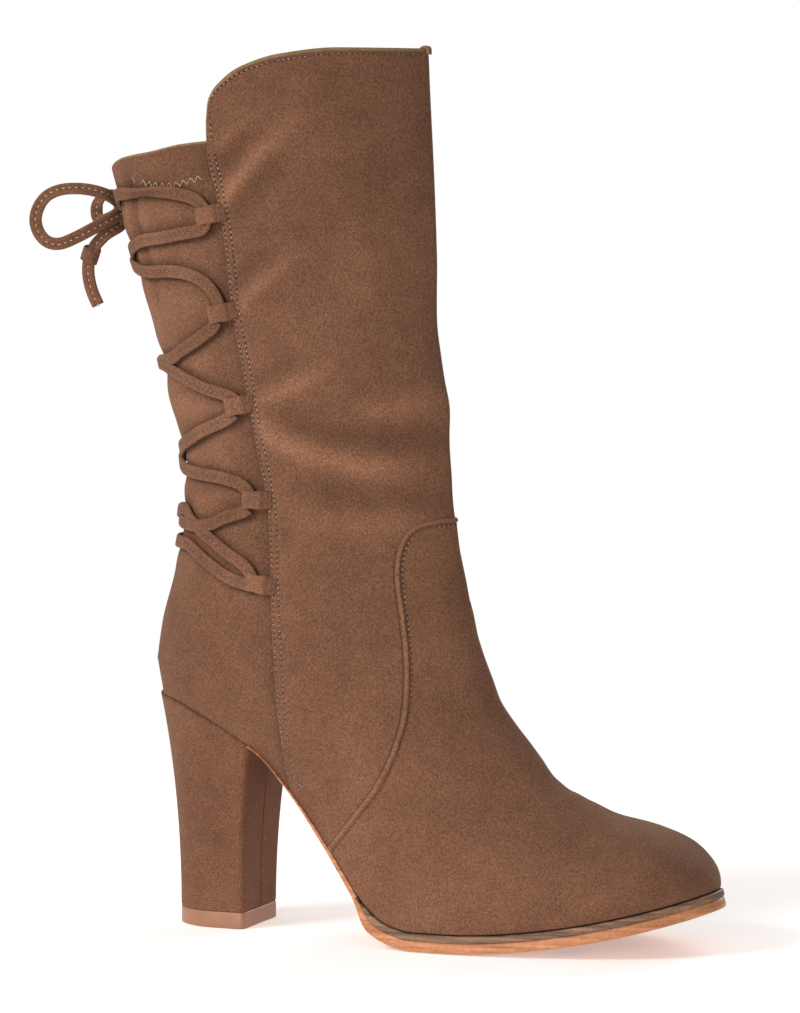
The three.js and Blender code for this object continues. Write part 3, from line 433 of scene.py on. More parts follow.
PANEL_EDGE = side_table([
    (0.406, -0.205), (0.373, -0.134), (0.340, -0.028), (0.321, 0.095), (0.311, 0.185),
    (0.302, 0.287), (0.255, 0.398), (0.212, 0.504), (0.170, 0.610), (0.151, 0.700),
    (0.123, 0.776), (0.088, 0.842), (0.085, 0.890), (0.0849, 1.05)])
COLLAR_EDGE = side_table([
    (0.0, 0.86), (0.085, 0.890), (0.094, 0.921), (0.142, 0.949), (0.222, 0.972), (0.358, 0.990),
    (0.566, 1.000), (0.830, 0.999), (1.040, 0.994)])
GORE_TOP = side_table([
    (-0.700, 0.770), (-0.406, 0.817), (-0.311, 0.832), (-0.160, 0.842), (-0.028, 0.853), (0.300, 0.866)])
VAMP_EDGE = np.array([  # millimetres, from beyond the front crease to below the feather line
    (140, 164.2), (105, 164.4), (98.1, 164.5), (92.6, 164.0), (87.5, 162.5), (83.7, 159.3), (81.0, 152.7),
    (80.4, 143.7), (81.8, 133.5), (83.5, 123.0), (84.9, 112.6), (86.0, 102.3), (86.2, 90.8), (85.0, 81.9),
    (81.5, 70.2), (76.1, 59.8), (69.3, 51.1), (59.0, 38.5), (51.0, 30.5)])
panel_x = curve(PANEL_EDGE[:, 1], PANEL_EDGE[:, 0])
collar_z = curve(COLLAR_EDGE[:, 0], COLLAR_EDGE[:, 1])
gore_top_z = curve(GORE_TOP[:, 0], GORE_TOP[:, 1])


def edge_turn(x, z):
    """Turn of a seam at each row, from its line in side view."""
    rows, turns = find_place(x, z)
    rows, turns = rows[turns > 0.002], turns[turns > 0.002]
    order = np.argsort(rows)
    rows, turns = np.append(rows[order], rows.max() + 0.03), np.append(turns[order], 0)
    return lambda row: np.interp(row, rows, turns)


seam_z = np.linspace(40, 352, 900)
panel_turn = edge_turn(panel_x(seam_z), seam_z)
low_rows = np.linspace(12, 18, 601)
SEAM_END = float(np.max(low_rows[panel_turn(low_rows) > 0]))  # row where the seam reaches the sole
print("panel seam at row 5 lies at turn", round(float(panel_turn(5)), 3))

# %% [markdown]
# ## Mesh helpers
# A piece is a grid of points and the quads between them. Doubles are merged, so that the two sides
# of the boot are welded at the front crease, and every normal is turned outwards where a piece is
# closed. Points are worked out in millimetres and put into the mesh in metres. `close_to` is the soft
# hump that every groove, ridge and shade below is made of.

# %% Mesh helpers
def close_to(distance, place, width):
    """1 where a distance is `place`, falling off softly over `width`."""
    return np.exp(-((distance - place) / width) ** 2)


def new_piece(name, points, quads, finish, slot, replaced=(), painted_shading=None, outwards=False):
    """A smooth mesh with its painted shade and highlights, which rides on the boot and stands for the
    replaced CAD nodes.
    """
    mesh = bpy.data.meshes.new(name)
    mesh.from_pydata((np.asarray(points) / 1000).tolist(), [], quads)
    # painted shade and highlights per point; 0.5 leaves the finish's colour as it is
    brushing_and_shading = np.full(len(points), 0.5) if painted_shading is None else painted_shading
    mesh.attributes.new("painted_shading", "FLOAT", "POINT").data.foreach_set("value", np.asarray(brushing_and_shading, np.float32))
    work = bmesh.new()
    work.from_mesh(mesh)
    bmesh.ops.remove_doubles(work, verts=work.verts, dist=2e-6)
    bmesh.ops.dissolve_degenerate(work, edges=work.edges, dist=1e-7)
    if outwards:
        bmesh.ops.recalc_face_normals(work, faces=work.faces)
    work.to_mesh(mesh)
    work.free()
    mesh.polygons.foreach_set("use_smooth", [True] * len(mesh.polygons))
    mesh.materials.append(finish)
    piece = bpy.data.objects.new(name, mesh)
    bpy.context.scene.collection.objects.link(piece)
    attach(piece, "root")
    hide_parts(*replaced)
    print(name, len(mesh.polygons), "faces")
    return piece


def grid_quads(rows, columns, start=0, flip=False, around=False):
    """The quads between rows and columns of points; `around` closes each row to a ring."""
    i, j = np.meshgrid(np.arange(rows - 1), np.arange(columns if around else columns - 1), indexing="ij")
    k = (j + 1) % columns
    quads = np.stack([i * columns + j, i * columns + k, (i + 1) * columns + k, (i + 1) * columns + j], -1)
    quads = quads.reshape(-1, 4) + start
    return (quads[:, ::-1] if flip else quads).tolist()


def add_grid(points, quads, grid, flip):
    """Adds a grid to the lists of a piece that is made of several."""
    quads += grid_quads(*grid.shape[:2], start=sum(len(part) for part in points), flip=flip)
    points.append(grid.reshape(-1, 3))


def distance_to(points, path):
    """Distance of each point from a path given as closely spaced points, and the nearest one's index."""
    tree = kdtree.KDTree(len(path))
    for index, place in enumerate(path):
        tree.insert(place, index)
    tree.balance()
    found = [tree.find(place) for place in points]
    return np.array([item[2] for item in found]), np.array([item[1] for item in found])


def even_rows(first, last, spacing):
    """Row numbers about `spacing` millimetres apart on the boot's back or front, whichever is coarser."""
    fine = np.linspace(first, last, 4000)
    q, p = spine(fine)
    step = np.maximum(*(np.linalg.norm(np.diff(line, axis=0), axis=1) for line in (q, p)))
    length = np.concatenate([[0], np.cumsum(step)])
    return np.interp(np.linspace(0, length[-1], int(length[-1] / spacing) + 1), length, fine)


print("helpers ready")

# %% [markdown]
# ## Creases
# Worn suede pulls from each lace loop, and folds over the ankle where the shaft bends. The folds are
# placed one by one in the side view as soft ridges and troughs: a height, a width and a path, all in
# millimetres. They could be simulated, but the photograph shows just these few.

# %% Creases of the side panels
CREASE_STRENGTH, FADING_END = 1.3, 0.35  # the end is a share of the path
RIDGES = [  # height, width, path
    (1.25, 3.7, [(3, 270), (9, 278), (14.9, 285.9), (24.6, 297.5), (35, 309), (45, 319)]),
    (-0.70, 4.5, [(8, 289), (14, 298), (23, 309), (32, 318)]),
    (-0.60, 5.0, [(14, 273), (22, 284), (33, 296), (45, 306)]),
    (0.60, 3.5, [(11.2, 307), (20.5, 313), (31.8, 321)]),
    (1.10, 3.7, [(16, 240), (22.4, 247.3), (28.7, 253.2), (37, 260), (48.4, 268.8)]),
    (-0.50, 4.5, [(18, 252), (26, 261), (36, 270)]),
    (1.05, 3.6, [(22, 206), (26.5, 208.7), (37, 212.8), (48.3, 218.1), (57.5, 223.6)]),
    (-0.45, 4.5, [(24, 215), (36, 221), (48, 228)]),
    (1.60, 5.0, [(12, 212), (21, 207), (29, 201), (36, 196), (42, 192.9), (56.6, 187.4),
                  (71, 184.7), (84, 183.9), (97, 185)]),
    (-0.65, 4.6, [(22, 213), (33, 207), (48.3, 200), (64.9, 196.3), (83.5, 196), (100, 200)]),
    (0.80, 5.5, [(60, 206), (80, 207), (98, 211), (112, 216)]),
    (-0.50, 5.0, [(34, 181), (52, 175), (72, 172), (94, 172), (110, 175)]),
    (0.60, 6.0, [(34, 168), (52, 165), (74, 162), (100, 164)]),
    (0.45, 4.0, [(30, 172), (38, 178), (46, 180)]),
    (0.40, 4.0, [(33, 138), (42, 148), (52, 155)]),
    (-0.30, 5.0, [(60, 246), (74, 240), (90, 240)]),
    (0.35, 7.0, [(56, 290), (66, 262), (70, 236)]),
]


def along_path(points, path, width):
    """1 on a path in side view, falling off over `width`, and fading towards its ends."""
    path = np.array(path, float)
    length = np.concatenate([[0], np.cumsum(np.linalg.norm(np.diff(path, axis=0), axis=1))])
    steps = np.linspace(0, length[-1], int(length[-1]) + 2)
    fine = np.stack([np.interp(steps, length, path[:, k]) for k in (0, 1)], -1)
    best = np.full(len(points), 1e9)
    share = np.zeros(len(points))
    for place, at in zip(fine, steps / length[-1]):
        away = ((points - place) ** 2).sum(-1)
        nearer = away < best
        best[nearer], share[nearer] = away[nearer], at
    fade = np.clip(np.minimum(share, 1 - share) / FADING_END, 0, 1)
    return np.exp(-best / width ** 2) * (0.25 + 0.75 * fade * fade * (3 - 2 * fade))


def crease_height(places, side):
    """Height of the creases at places in side view; the inner side's are weaker and a little lower."""
    shift, share = ((0, 0), 1.0) if side < 0 else ((3, -5), 0.75)
    seen = places[:, [0, 2]] - shift
    total = sum(height * along_path(seen, path, width) for height, width, path in RIDGES)
    return CREASE_STRENGTH * share * total


def creases_to_front(places, side, to_front):
    """The same, shared by both sides where they meet at the front crease."""
    own, other = crease_height(places, side), crease_height(places, -side)
    return lerp((own + other) / 2, own, np.clip(to_front / 12, 0, 1))


print(len(RIDGES), "creases placed")

# %% [markdown]
# ## Side panels
# Each side of the shaft is one piece of suede, from the laced seam at the back to the seam on the
# front crease. Its grid follows the sections of the last. Columns near the rear seam and rows near
# the collar lie at fixed distances from the edge, so that the edge can be rolled over and the
# stitches can sink into the leather.

# %% Side panels
PANEL_STEP, VAMP_STEP, WALL = 0.9, 0.7, 2.3
EDGE_AWAY = [0, 0, 0.1, 0.3, 0.65, 0.95, 1.2, 1.5, 2.1, 2.8, 3.25, 3.55, 3.85, 4.3, 5.2, 6.4]
COLLAR_AWAY = [0, 0, 0.1, 0.3, 0.65, 1.1, 1.7, 2.15, 2.5, 2.85, 3.4, 4.4, 5.6]
EDGE_PROFILE = ([0, 0.1, 0.3, 0.65, 1.0], [0.85, 0.45, 0.18, 0.04, 0])
PANEL_STITCHES, COLLAR_STITCHES = (1.1, 3.55), 2.5  # distances from the edges


def columns_on(rows, seam, side, away, columns, depth=0.0, last=1.0):
    """Turns of the columns on each row: first at distances `away` from a seam, then evenly on to `last`."""
    start = seam(rows)
    turns = start[:, None] + (last - start)[:, None] * np.linspace(0, 1, 150)[None, :]
    places = skin(rows[:, None], turns, side, depth)
    steps = np.linalg.norm(np.diff(places, axis=1), axis=2)
    length = np.concatenate([np.zeros((len(rows), 1)), np.cumsum(steps, axis=1)], 1)
    made = []
    for along, turn in zip(length, turns):
        scale = min(1, along[-1] / (1.6 * away[-1] + 1e-9))
        near = np.array(away) * scale
        wanted = np.concatenate([near, np.linspace(near[-1], along[-1], columns + 1)[1:]])
        made.append(np.interp(wanted, along, turn))
    return np.array(made)


def column_reader(seam, side, away, columns, depth=0.0, last=1.0):
    """Reads the columns' turns at any row number."""
    rows = np.linspace(0, LAST_ROW, 781)
    table = columns_on(rows, seam, side, away, columns, depth, last)

    def read(row):
        return np.stack([np.interp(row[..., k], rows, table[:, k]) for k in range(table.shape[1])], -1)

    read.count = table.shape[1]
    return read


def rows_below(top, turns_at, rows, away, side, depth=0.0):
    """Row numbers of a grid whose upper edge is the curve `top` in side view, column by column."""
    low, high = np.zeros(turns_at.count), np.full(turns_at.count, 6.0)
    for _ in range(26):
        middle = (low + high) / 2
        place = skin(middle, turns_at(middle), side, depth)
        above = place[:, 2] > top(place[:, 0])
        low, high = np.where(above, middle, low), np.where(above, high, middle)
    at_edge = turns_at(low)
    pace = np.abs(skin(low + 0.1, at_edge, side, depth) - skin(low, at_edge, side, depth))[:, 2] / 0.1
    near = low[None, :] + np.array(away)[:, None] / pace[None, :]
    blend = 5.0
    early = rows[rows < blend]
    share = (early - early[0]) / (blend - early[0])
    upper = near[-1:] + (blend - near[-1:]) * share[1:, None]
    later = np.repeat(rows[rows >= blend][:, None], turns_at.count, axis=1)
    return np.concatenate([near, upper, later])


def edge_line(z_low, z_high, side):
    """The rear seam as closely spaced points."""
    z = np.linspace(z_high, z_low, 1600)
    row, turn = find_place(panel_x(z), z)
    return skin(row, turn, side)


panel_rows = even_rows(0.3, 18.5, 1.5)
PANEL_COLUMNS = 62
points, quads, painted_shading = [], [], []
panel_grids = {}
for side in (-1, 1):
    turns_at = column_reader(panel_turn, side, EDGE_AWAY, PANEL_COLUMNS)
    row_grid = rows_below(collar_z, turns_at, panel_rows, COLLAR_AWAY, side)
    turn_grid = turns_at(row_grid)
    flat = skin(row_grid, turn_grid, side).reshape(-1, 3)
    count = row_grid.shape[1]
    collar = skin(row_grid[0], turn_grid[0], side)
    fine_collar = np.stack([np.interp(np.linspace(0, count - 1, count * 12), np.arange(count), collar[:, k])
                            for k in range(3)], -1)
    to_seam, _ = distance_to(flat, edge_line(40, 318.5, side))
    to_collar, _ = distance_to(flat, fine_collar)
    to_seam = np.where(row_grid.reshape(-1) > SEAM_END, np.maximum(to_seam, 1), to_seam)
    away = np.minimum(to_seam, to_collar)
    depth = np.interp(away, *EDGE_PROFILE)
    for line in PANEL_STITCHES:
        depth += 0.16 * close_to(to_seam, line, 0.32) * (to_collar > 1.5)
    depth -= 0.12 * close_to(to_seam, 2.3, 0.7)
    depth += 0.16 * close_to(to_collar, COLLAR_STITCHES, 0.4)
    to_front = np.linalg.norm(flat - skin(row_grid, 1.0, side).reshape(-1, 3), axis=-1)
    creases = creases_to_front(flat, side, to_front) * np.clip(away / 6, 0, 1)
    depth = depth - creases + 0.45 * close_to(to_front, 0, 0.5) - 0.4 * close_to(to_front, 1.5, 0.8)
    depth = depth.reshape(row_grid.shape)
    depth[0, :] = depth[:, 0] = WALL - 0.05
    # painted shading: crease ridges lighter and troughs darker, painted shade along the rolled edges and in
    # the front crease, and a painted highlight just beside that crease
    painted_tone = 0.5 + 0.20 * creases - 0.10 * close_to(away, 0, 0.7) - 0.25 * close_to(to_front, 0, 0.6)
    painted_tone += 0.12 * close_to(to_front, 1.4, 0.6)
    panel_grids[side] = (row_grid, turn_grid)
    add_grid(points, quads, skin(row_grid, turn_grid, side, depth), flip=side > 0)
    painted_shading.append(painted_tone)
panel_points, panel_painted_shading = np.concatenate(points), np.concatenate(painted_shading)
print("side panels", len(quads), "quads before the part under the vamp is cut away")

# %% [markdown]
# ## Paths on the skin
# Seams, beads and laces follow paths. A Catmull-Rom curve passes smoothly through the few points
# that a maker would mark, and `beside` moves a path over the leather by a real distance.

# %% Paths on the skin
def smooth_path(points, spacing):
    """Evenly spaced points on a smooth curve through the given ones."""
    points = np.array(points, float)
    ends = np.concatenate([[2 * points[0] - points[1]], points, [2 * points[-1] - points[-2]]])
    t = np.linspace(0, 1, 40, endpoint=False)[:, None]
    parts = [0.5 * (2 * b + (c - a) * t + (2 * a - 5 * b + 4 * c - d) * t ** 2
                    + (3 * b - a - 3 * c + d) * t ** 3)
             for a, b, c, d in zip(ends, ends[1:], ends[2:], ends[3:])]
    fine = np.concatenate(parts + [points[-1:]])
    return evenly(fine, spacing)


def evenly(fine, spacing, by=None):
    """Points of a path at even distances; `by` gives other points along it to measure on."""
    measured = fine if by is None else by
    length = np.concatenate([[0], np.cumsum(np.linalg.norm(np.diff(measured, axis=0), axis=1))])
    steps = np.linspace(0, length[-1], max(3, int(round(length[-1] / spacing)) + 1))
    return np.stack([np.interp(steps, length, fine[:, k]) for k in range(fine.shape[1])], -1)


def path_frame(row, turn, side):
    """The direction across a path, in the skin, with the steps along a row and a turn."""
    place = skin(row, turn, side)
    normal, along_row, along_turn = outward(row, turn, side)
    tangent = np.gradient(place, axis=0)
    tangent /= np.linalg.norm(tangent, axis=1, keepdims=True) + 1e-12
    across = np.cross(normal, tangent)
    across /= np.linalg.norm(across, axis=1, keepdims=True) + 1e-12
    return across, along_row, along_turn


def beside(row, turn, side, away):
    """The path moved over the skin by `away` millimetres, towards the toe side."""
    across, along_row, along_turn = path_frame(row, turn, side)
    across = across * np.sign(across[:, :1] + 1e-9) if np.ptp(across[:, 0]) < 1 else across
    step = across * np.asarray(away, float).reshape(-1, 1)
    a, b = (along_row ** 2).sum(-1), (along_row * along_turn).sum(-1)
    d = (along_turn ** 2).sum(-1)
    u, v = (along_row * step).sum(-1), (along_turn * step).sum(-1)
    scale = np.maximum(a * d - b * b, 1e-9)
    moved = np.stack([(d * u - b * v) / scale, (a * v - b * u) / scale], -1)
    steady = np.flatnonzero((turn > 0.045) & (turn < 0.985))
    if len(steady):  # the directions are unsure right at the ends, so the last sure ones are kept
        moved = moved[steady[np.abs(np.arange(len(turn))[:, None] - steady[None, :]).argmin(1)]]
    return row + moved[:, 0], np.clip(turn + moved[:, 1], 0, 1)


vamp_line = smooth_path(VAMP_EDGE[1:], 0.7)
vamp_row, vamp_turn_at_row = find_place(vamp_line[:, 0], vamp_line[:, 1])
inside = (vamp_turn_at_row > 0.001) & (vamp_turn_at_row < 0.999)
first, last = np.argmax(inside), len(inside) - np.argmax(inside[::-1])
vamp_row, vamp_turn_at_row = vamp_row[first:last], vamp_turn_at_row[first:last]
vamp_row = np.concatenate([[2 * vamp_row[0] - vamp_row[1]], vamp_row, [2 * vamp_row[-1] - vamp_row[-2]]])
vamp_turn_at_row = np.concatenate([[1.0], vamp_turn_at_row, [0.0]])
vamp_seam = lambda row: np.interp(row, vamp_row, vamp_turn_at_row)
print("vamp seam from row", round(vamp_row[0], 2), "to", round(vamp_row[-1], 2))

# %% [markdown]
# ## Side panels, trimmed
# The panels run on under the vamp for a few millimetres, as the real ones do for the seam. What
# lies deeper under it could never be seen, so those faces are left out. Along the collar the cut
# edge of the suede shows, so the faces there take a second finish.

# %% Side panels, trimmed
rows_flat = np.concatenate([panel_grids[side][0].reshape(-1) for side in (-1, 1)])
turns_flat = np.concatenate([panel_grids[side][1].reshape(-1) for side in (-1, 1)])
covered = turns_flat > vamp_seam(rows_flat) + 0.07
covered |= rows_flat > vamp_row[-1] + 0.35
kept = [quad for quad in quads if not covered[quad].all()]
panels = new_piece("side_panels", panel_points, kept, BOOT_SUEDE, "suede", ["upper"], panel_painted_shading)


def rim_faces(piece, top, width):
    """Gives the faces along the upper edge the second finish: there the cut suede shows its core."""
    for face in piece.data.polygons:
        x, z = face.center.x * 1000, face.center.z * 1000
        slope = float(top(x + 0.5) - top(x - 0.5))
        if float(top(x)) - z < width * math.hypot(1, slope):
            face.material_index = 1


PANEL_RIM, GORE_RIM = 1.25, 0.8  # width of the cut edge that shows
panels.data.materials.append(RAW_EDGE)
rim_faces(panels, collar_z, PANEL_RIM)

# %% [markdown]
# ## Vamp and its bead
# The vamp is pulled over the toe in one piece. Its upper edge is folded over a thin cord, which
# shows as a rounded bead. The bead is a strip swept along the seam with a given profile, and
# the vamp's own grid starts beneath it and closes in on the tip of the toe.

# %% Vamp
def toe_rows(first, last, spacing):
    """Row numbers about `spacing` apart on the feather line, the side or the front, as on a toe."""
    fine = np.linspace(first, last, 3000)
    lines = [skin(fine, turn, 1) for turn in (0, 0.35, 1)]
    step = np.max([np.linalg.norm(np.diff(line, axis=0), axis=1) for line in lines], axis=0)
    length = np.concatenate([[0], np.cumsum(step)])
    return np.interp(np.linspace(0, length[-1], int(length[-1] / spacing)), length, fine)


under_row, under_turn = beside(vamp_row, vamp_turn_at_row, -1, 1.5)
order = np.argsort(under_row)
under_rows, under_turns = under_row[order], under_turn[order]
closing = lambda row: np.clip((vamp_row[-1] - 0.75 - row) / 1.1, 0, 1)
under_seam = lambda row: np.interp(row, under_rows, under_turns, left=1.0) * closing(row)
dense = np.sort(np.concatenate([
    toe_rows(under_row.min(), LAST_ROW, 1.25), toe_rows(vamp_row[-1] - 1.9, vamp_row[-1] + 0.1, 0.6),
    np.linspace(under_row.min(), under_row.min() + 0.5, 40)]))
dense = dense[np.concatenate([[True], np.diff(dense) > 0.006])]
VAMP_AWAY = [0, 0, 0.25, 0.6, 1.3]
TUCK = ([0, 0.25, 0.6, 1.3], [0.5, 0.16, 0.03, 0])
points, quads, painted_shading = [], [], []
for side in (-1, 1):
    turn_grid = columns_on(dense, under_seam, side, VAMP_AWAY, 46, -VAMP_STEP)
    row_grid = np.repeat(dense[:, None], turn_grid.shape[1], axis=1)
    flat = skin(row_grid, turn_grid, side, -VAMP_STEP).reshape(-1, 3)
    to_front = np.linalg.norm(flat - skin(row_grid, 1.0, side, -VAMP_STEP).reshape(-1, 3), axis=-1)
    creases = creases_to_front(flat, side, to_front)
    to_seam, _ = distance_to(flat, skin(vamp_row, vamp_turn_at_row, side, -VAMP_STEP))
    seam_row = np.interp(turn_grid, vamp_turn_at_row[::-1], vamp_row[::-1])
    beyond = np.where(row_grid < seam_row, -1, 1) * to_seam.reshape(row_grid.shape)
    risen = np.clip((beyond - 0.1) / 1.2, 0, 1)
    to_sole = np.linalg.norm(skin(row_grid, turn_grid, side) - skin(row_grid, 0.0, side), axis=-1)
    tuck = np.interp(to_sole, *TUCK) * (beyond > 0) * (row_grid > vamp_row[-1] - 1)
    depth = lerp(0.9, -VAMP_STEP - creases.reshape(row_grid.shape), risen) + tuck
    depth[:, 0] = WALL - VAMP_STEP
    # painted shade where the vamp tucks in towards the sole and along the lower edge of the bead, with crease
    # ridges lighter and troughs darker
    shaded = 0.12 * tuck + 0.3 * close_to(beyond, 2.4, 0.5)
    painted_shading.append(0.5 + 0.18 * creases - shaded.reshape(-1))
    add_grid(points, quads, skin(row_grid, turn_grid, side, depth), flip=side > 0)
new_piece("vamp", np.concatenate(points), quads, BOOT_SUEDE, "suede", ["upper"], np.concatenate(painted_shading))

# %% Bead of the vamp
BEAD = np.array([  # away from the seam, depth, tone: painted shade in the crevices beside the bead, a painted highlight on its top
    (-0.8, 0.7, 0.0), (-0.38, -0.03, 0.0), (-0.18, -0.06, 0.0), (-0.05, -0.40, 0.2), (0.2, -1.0, 0.5),
    (0.6, -1.42, 0.64), (1.05, -1.55, 0.66), (1.5, -1.42, 0.58), (1.85, -1.08, 0.44), (2.1, -0.74, 0.26),
    (2.4, -0.5, 0.3)])
wider = 1 + 0.4 * np.clip(np.linspace(-0.5, 1.2, len(vamp_row)), 0, 1)  # it widens towards the sole
points, quads = [], []
for side in (-1, 1):
    columns = []
    for away, depth, _ in BEAD:
        row, turn = beside(vamp_row, vamp_turn_at_row, side, away * wider)
        columns.append(skin(row, turn, side, depth))
    add_grid(points, quads, np.stack(columns, 1), flip=side > 0)
new_piece("vamp_bead", np.concatenate(points), quads, BOOT_SUEDE, "suede", ["upper"],
          np.tile(BEAD[:, 2], 2 * len(vamp_row)))

# %% [markdown]
# ## The lace's course
# The lace zigzags over the gore from loop to loop and crosses itself at the middle of the back. Its
# halves are written as rows and turns on the last, as one would mark them with chalk. The gore needs
# them first, because the tight lace presses into it.

# %% The lace's course
CROSS_ROWS = [3.02, 4.41, 5.85, 6.90]
LEAVING = [  # from the bottom of a loop towards the back
    [(2.55, 0.418), (2.63, 0.410), (2.67, 0.390), (2.70, 0.348), (2.74, 0.294), (2.79, 0.2)],
    [(3.81, 0.396), (3.90, 0.382), (3.98, 0.358), (4.08, 0.326), (4.22, 0.266), (4.35, 0.192)],
    [(5.06, 0.392), (5.14, 0.374), (5.22, 0.346), (5.29, 0.314), (5.4, 0.264), (5.56, 0.188)],
    [(6.82, 0.404), (6.89, 0.390), (6.94, 0.362), (7.01, 0.326), (7.11, 0.286), (7.10, 0.2)],
]
ARRIVING = [  # from the back to the top of the next loop
    [(3.15, 0.15), (3.18, 0.212), (3.17, 0.284), (3.19, 0.332), (3.25, 0.366), (3.36, 0.392),
     (3.5, 0.406), (3.6, 0.41)],
    [(4.43, 0.138), (4.52, 0.22), (4.63, 0.278), (4.72, 0.324), (4.78, 0.366), (4.83, 0.393), (4.89, 0.402)],
    [(6.03, 0.132), (6.11, 0.222), (6.16, 0.288), (6.22, 0.338), (6.31, 0.376), (6.43, 0.398), (6.56, 0.408)],
    [(6.78, 0.146), (6.98, 0.2), (7.18, 0.246), (7.43, 0.3), (7.73, 0.352), (8.02, 0.398),
     (8.24, 0.422), (8.4, 0.432)],
]
TOP_BAR = [(2.31, 0), (2.17, 0.12), (2.15, 0.238), (2.15, 0.282), (2.17, 0.338), (2.23, 0.384),
           (2.3, 0.408), (2.4, 0.42)]
LOW_BAR = [(7.40, 0), (7.42, 0.1), (7.48, 0.196), (7.66, 0.25), (7.93, 0.304), (8.19, 0.35),
           (8.40, 0.390), (8.56, 0.430)]


def mirrored(half):
    """The inner half of a bar, turned into its outer half."""
    return [(row, -turn) for row, turn in reversed(half)]


def strand_course(first, second, cross):
    """Course from the outer side's negative turns over the back to the inner side's positive ones."""
    return [(row, -turn) for row, turn in first] + [(cross, 0)] + list(second)


courses = {}
for index in range(4):
    courses[f"strand_down_{index + 1}"] = strand_course(LEAVING[index], ARRIVING[index], CROSS_ROWS[index])
    courses[f"strand_up_{index + 1}"] = strand_course(
        list(reversed(ARRIVING[index])), list(reversed(LEAVING[index])), CROSS_ROWS[index])
courses["strand_top"] = mirrored(TOP_BAR[1:]) + TOP_BAR
courses["strand_low"] = mirrored(LOW_BAR[1:]) + LOW_BAR


def lay(course, lift):
    """Points and normals of a course over the gore; `lift` is a height for each point, or one for all."""
    course = smooth_path(course, 0.02)
    row, turn = course[:, 0], course[:, 1]
    side = np.where(turn < 0, -1.0, 1.0)
    at = np.abs(turn)
    place = skin(row, at, side, PANEL_STEP)
    normal, _, _ = outward(row, np.maximum(at, 0.004), side, PANEL_STEP)
    both = evenly(np.concatenate([place, normal, row[:, None], turn[:, None]], 1), 1.0, by=place)
    normal = both[:, 3:6] / np.linalg.norm(both[:, 3:6], axis=1, keepdims=True)
    return both[:, :3] + normal * np.asarray(lift, float).reshape(-1, 1), normal, both[:, 7]


pressed = np.concatenate([lay(course, 0.0)[0] for course in courses.values()])
print(len(courses), "strands of lace, about", len(pressed), "mm in all")

# %% [markdown]
# ## Gore and counter
# Between the side panels lies an elastic gore, covered with thin suede, and below it the counter.
# The elastic gathers the suede into upright pleats behind the top laces, and each tight strand
# presses a soft channel into it. Both are added to the depth of the grid.

# %% Gore and counter
GORE_AWAY = [0, 0, 0.12, 0.35, 0.7, 1.2]


def gore_depth(places, turn):
    """Depth of the pleats, pillows and channels, and the shade that each strand throws."""
    near, nearest = distance_to(places, pressed)
    below = np.clip((pressed[nearest, 2] - places[:, 2]) / 1.5, 0, 1)
    z = places[:, 2]
    to_top = gore_top_z(places[:, 0]) - z
    # pleats lie behind the top laces, and the gore swells from the counter up to them
    high = np.clip(to_top / 6 - 0.9, 0, 1) * np.clip((z - 232) / 40, 0, 1)
    swell = np.clip((z - 140) / 18, 0, 1) * np.clip((306 - z) / 20, 0, 1)
    phase = turn * 74 + 0.35 * np.sin(z / 7.0) + 0.25 * np.sin(z / 3.1)
    pleats = np.cos(phase) * (0.75 + 0.3 * np.cos(turn * 31)) * np.clip((0.34 - turn) / 0.12, 0.25, 1)
    near_seam = np.clip((0.40 - turn) / 0.08, 0, 1)
    channel_and_lace_shadow = close_to(near, 0, 3.4)
    pillow = swell * near_seam * (1.25 * (1 - close_to(near, 0, 6.5)) - 0.25)
    slack = 0.30 * np.cos(z / 3.4 + turn * 9) * swell * np.clip((250 - z) / 30, 0, 1) * (1 - channel_and_lace_shadow)
    height = high * pleats * near_seam * (1 - 0.6 * channel_and_lace_shadow) + pillow + slack * near_seam
    bottom = np.clip((z - 60) / 10, 0, 1)
    return -height * bottom, close_to(near, 2.6, 1.7) * (0.35 + 0.65 * below)


gore_rows = even_rows(0.6, SEAM_END + 0.1, 1.05)
under_panel = lambda row: panel_turn(row) + 0.035
points, quads, painted_shading = [], [], []
for side in (-1, 1):
    turns_at = column_reader(under_panel, side, [0], 54, PANEL_STEP, last=0.0)
    row_grid = rows_below(gore_top_z, turns_at, gore_rows, GORE_AWAY, side, PANEL_STEP)
    turn_grid = turns_at(row_grid)
    flat = skin(row_grid, turn_grid, side, PANEL_STEP).reshape(-1, 3)
    to_top = gore_top_z(flat[:, 0]) - flat[:, 2]
    relief, channel_and_lace_shadow = gore_depth(flat, turn_grid.reshape(-1))
    depth = PANEL_STEP + relief + np.interp(to_top, [0, 0.12, 0.35, 0.7], [0.5, 0.22, 0.06, 0])
    depth = depth.reshape(row_grid.shape)
    depth[0, :] = WALL - 0.05
    # painted shading: raised pillows and pleats lighter and hollows darker, a painted shadow beside and below
    # each lace strand, and painted shade along the side panel's edge
    shadow_beside_panel = np.exp(-np.maximum(0, panel_turn(row_grid) - turn_grid).reshape(-1) / 0.02)
    painted_shading.append(0.5 - 0.16 * relief - 0.38 * channel_and_lace_shadow - 0.24 * shadow_beside_panel)
    add_grid(points, quads, skin(row_grid, turn_grid, side, depth), flip=side < 0)
gore = new_piece("gore_and_counter", np.concatenate(points), quads, GORE_SUEDE, "suede", ["upper"],
                 np.concatenate(painted_shading))
gore.data.materials.append(RAW_EDGE)
rim_faces(gore, gore_top_z, GORE_RIM)

# %% [markdown]
# ## Lining
# The lining is a second, smooth skin, one wall's thickness inside. It could be a Solidify modifier
# on the suede, but the suede's creases and stitches would then show inside, where a lining lies flat.

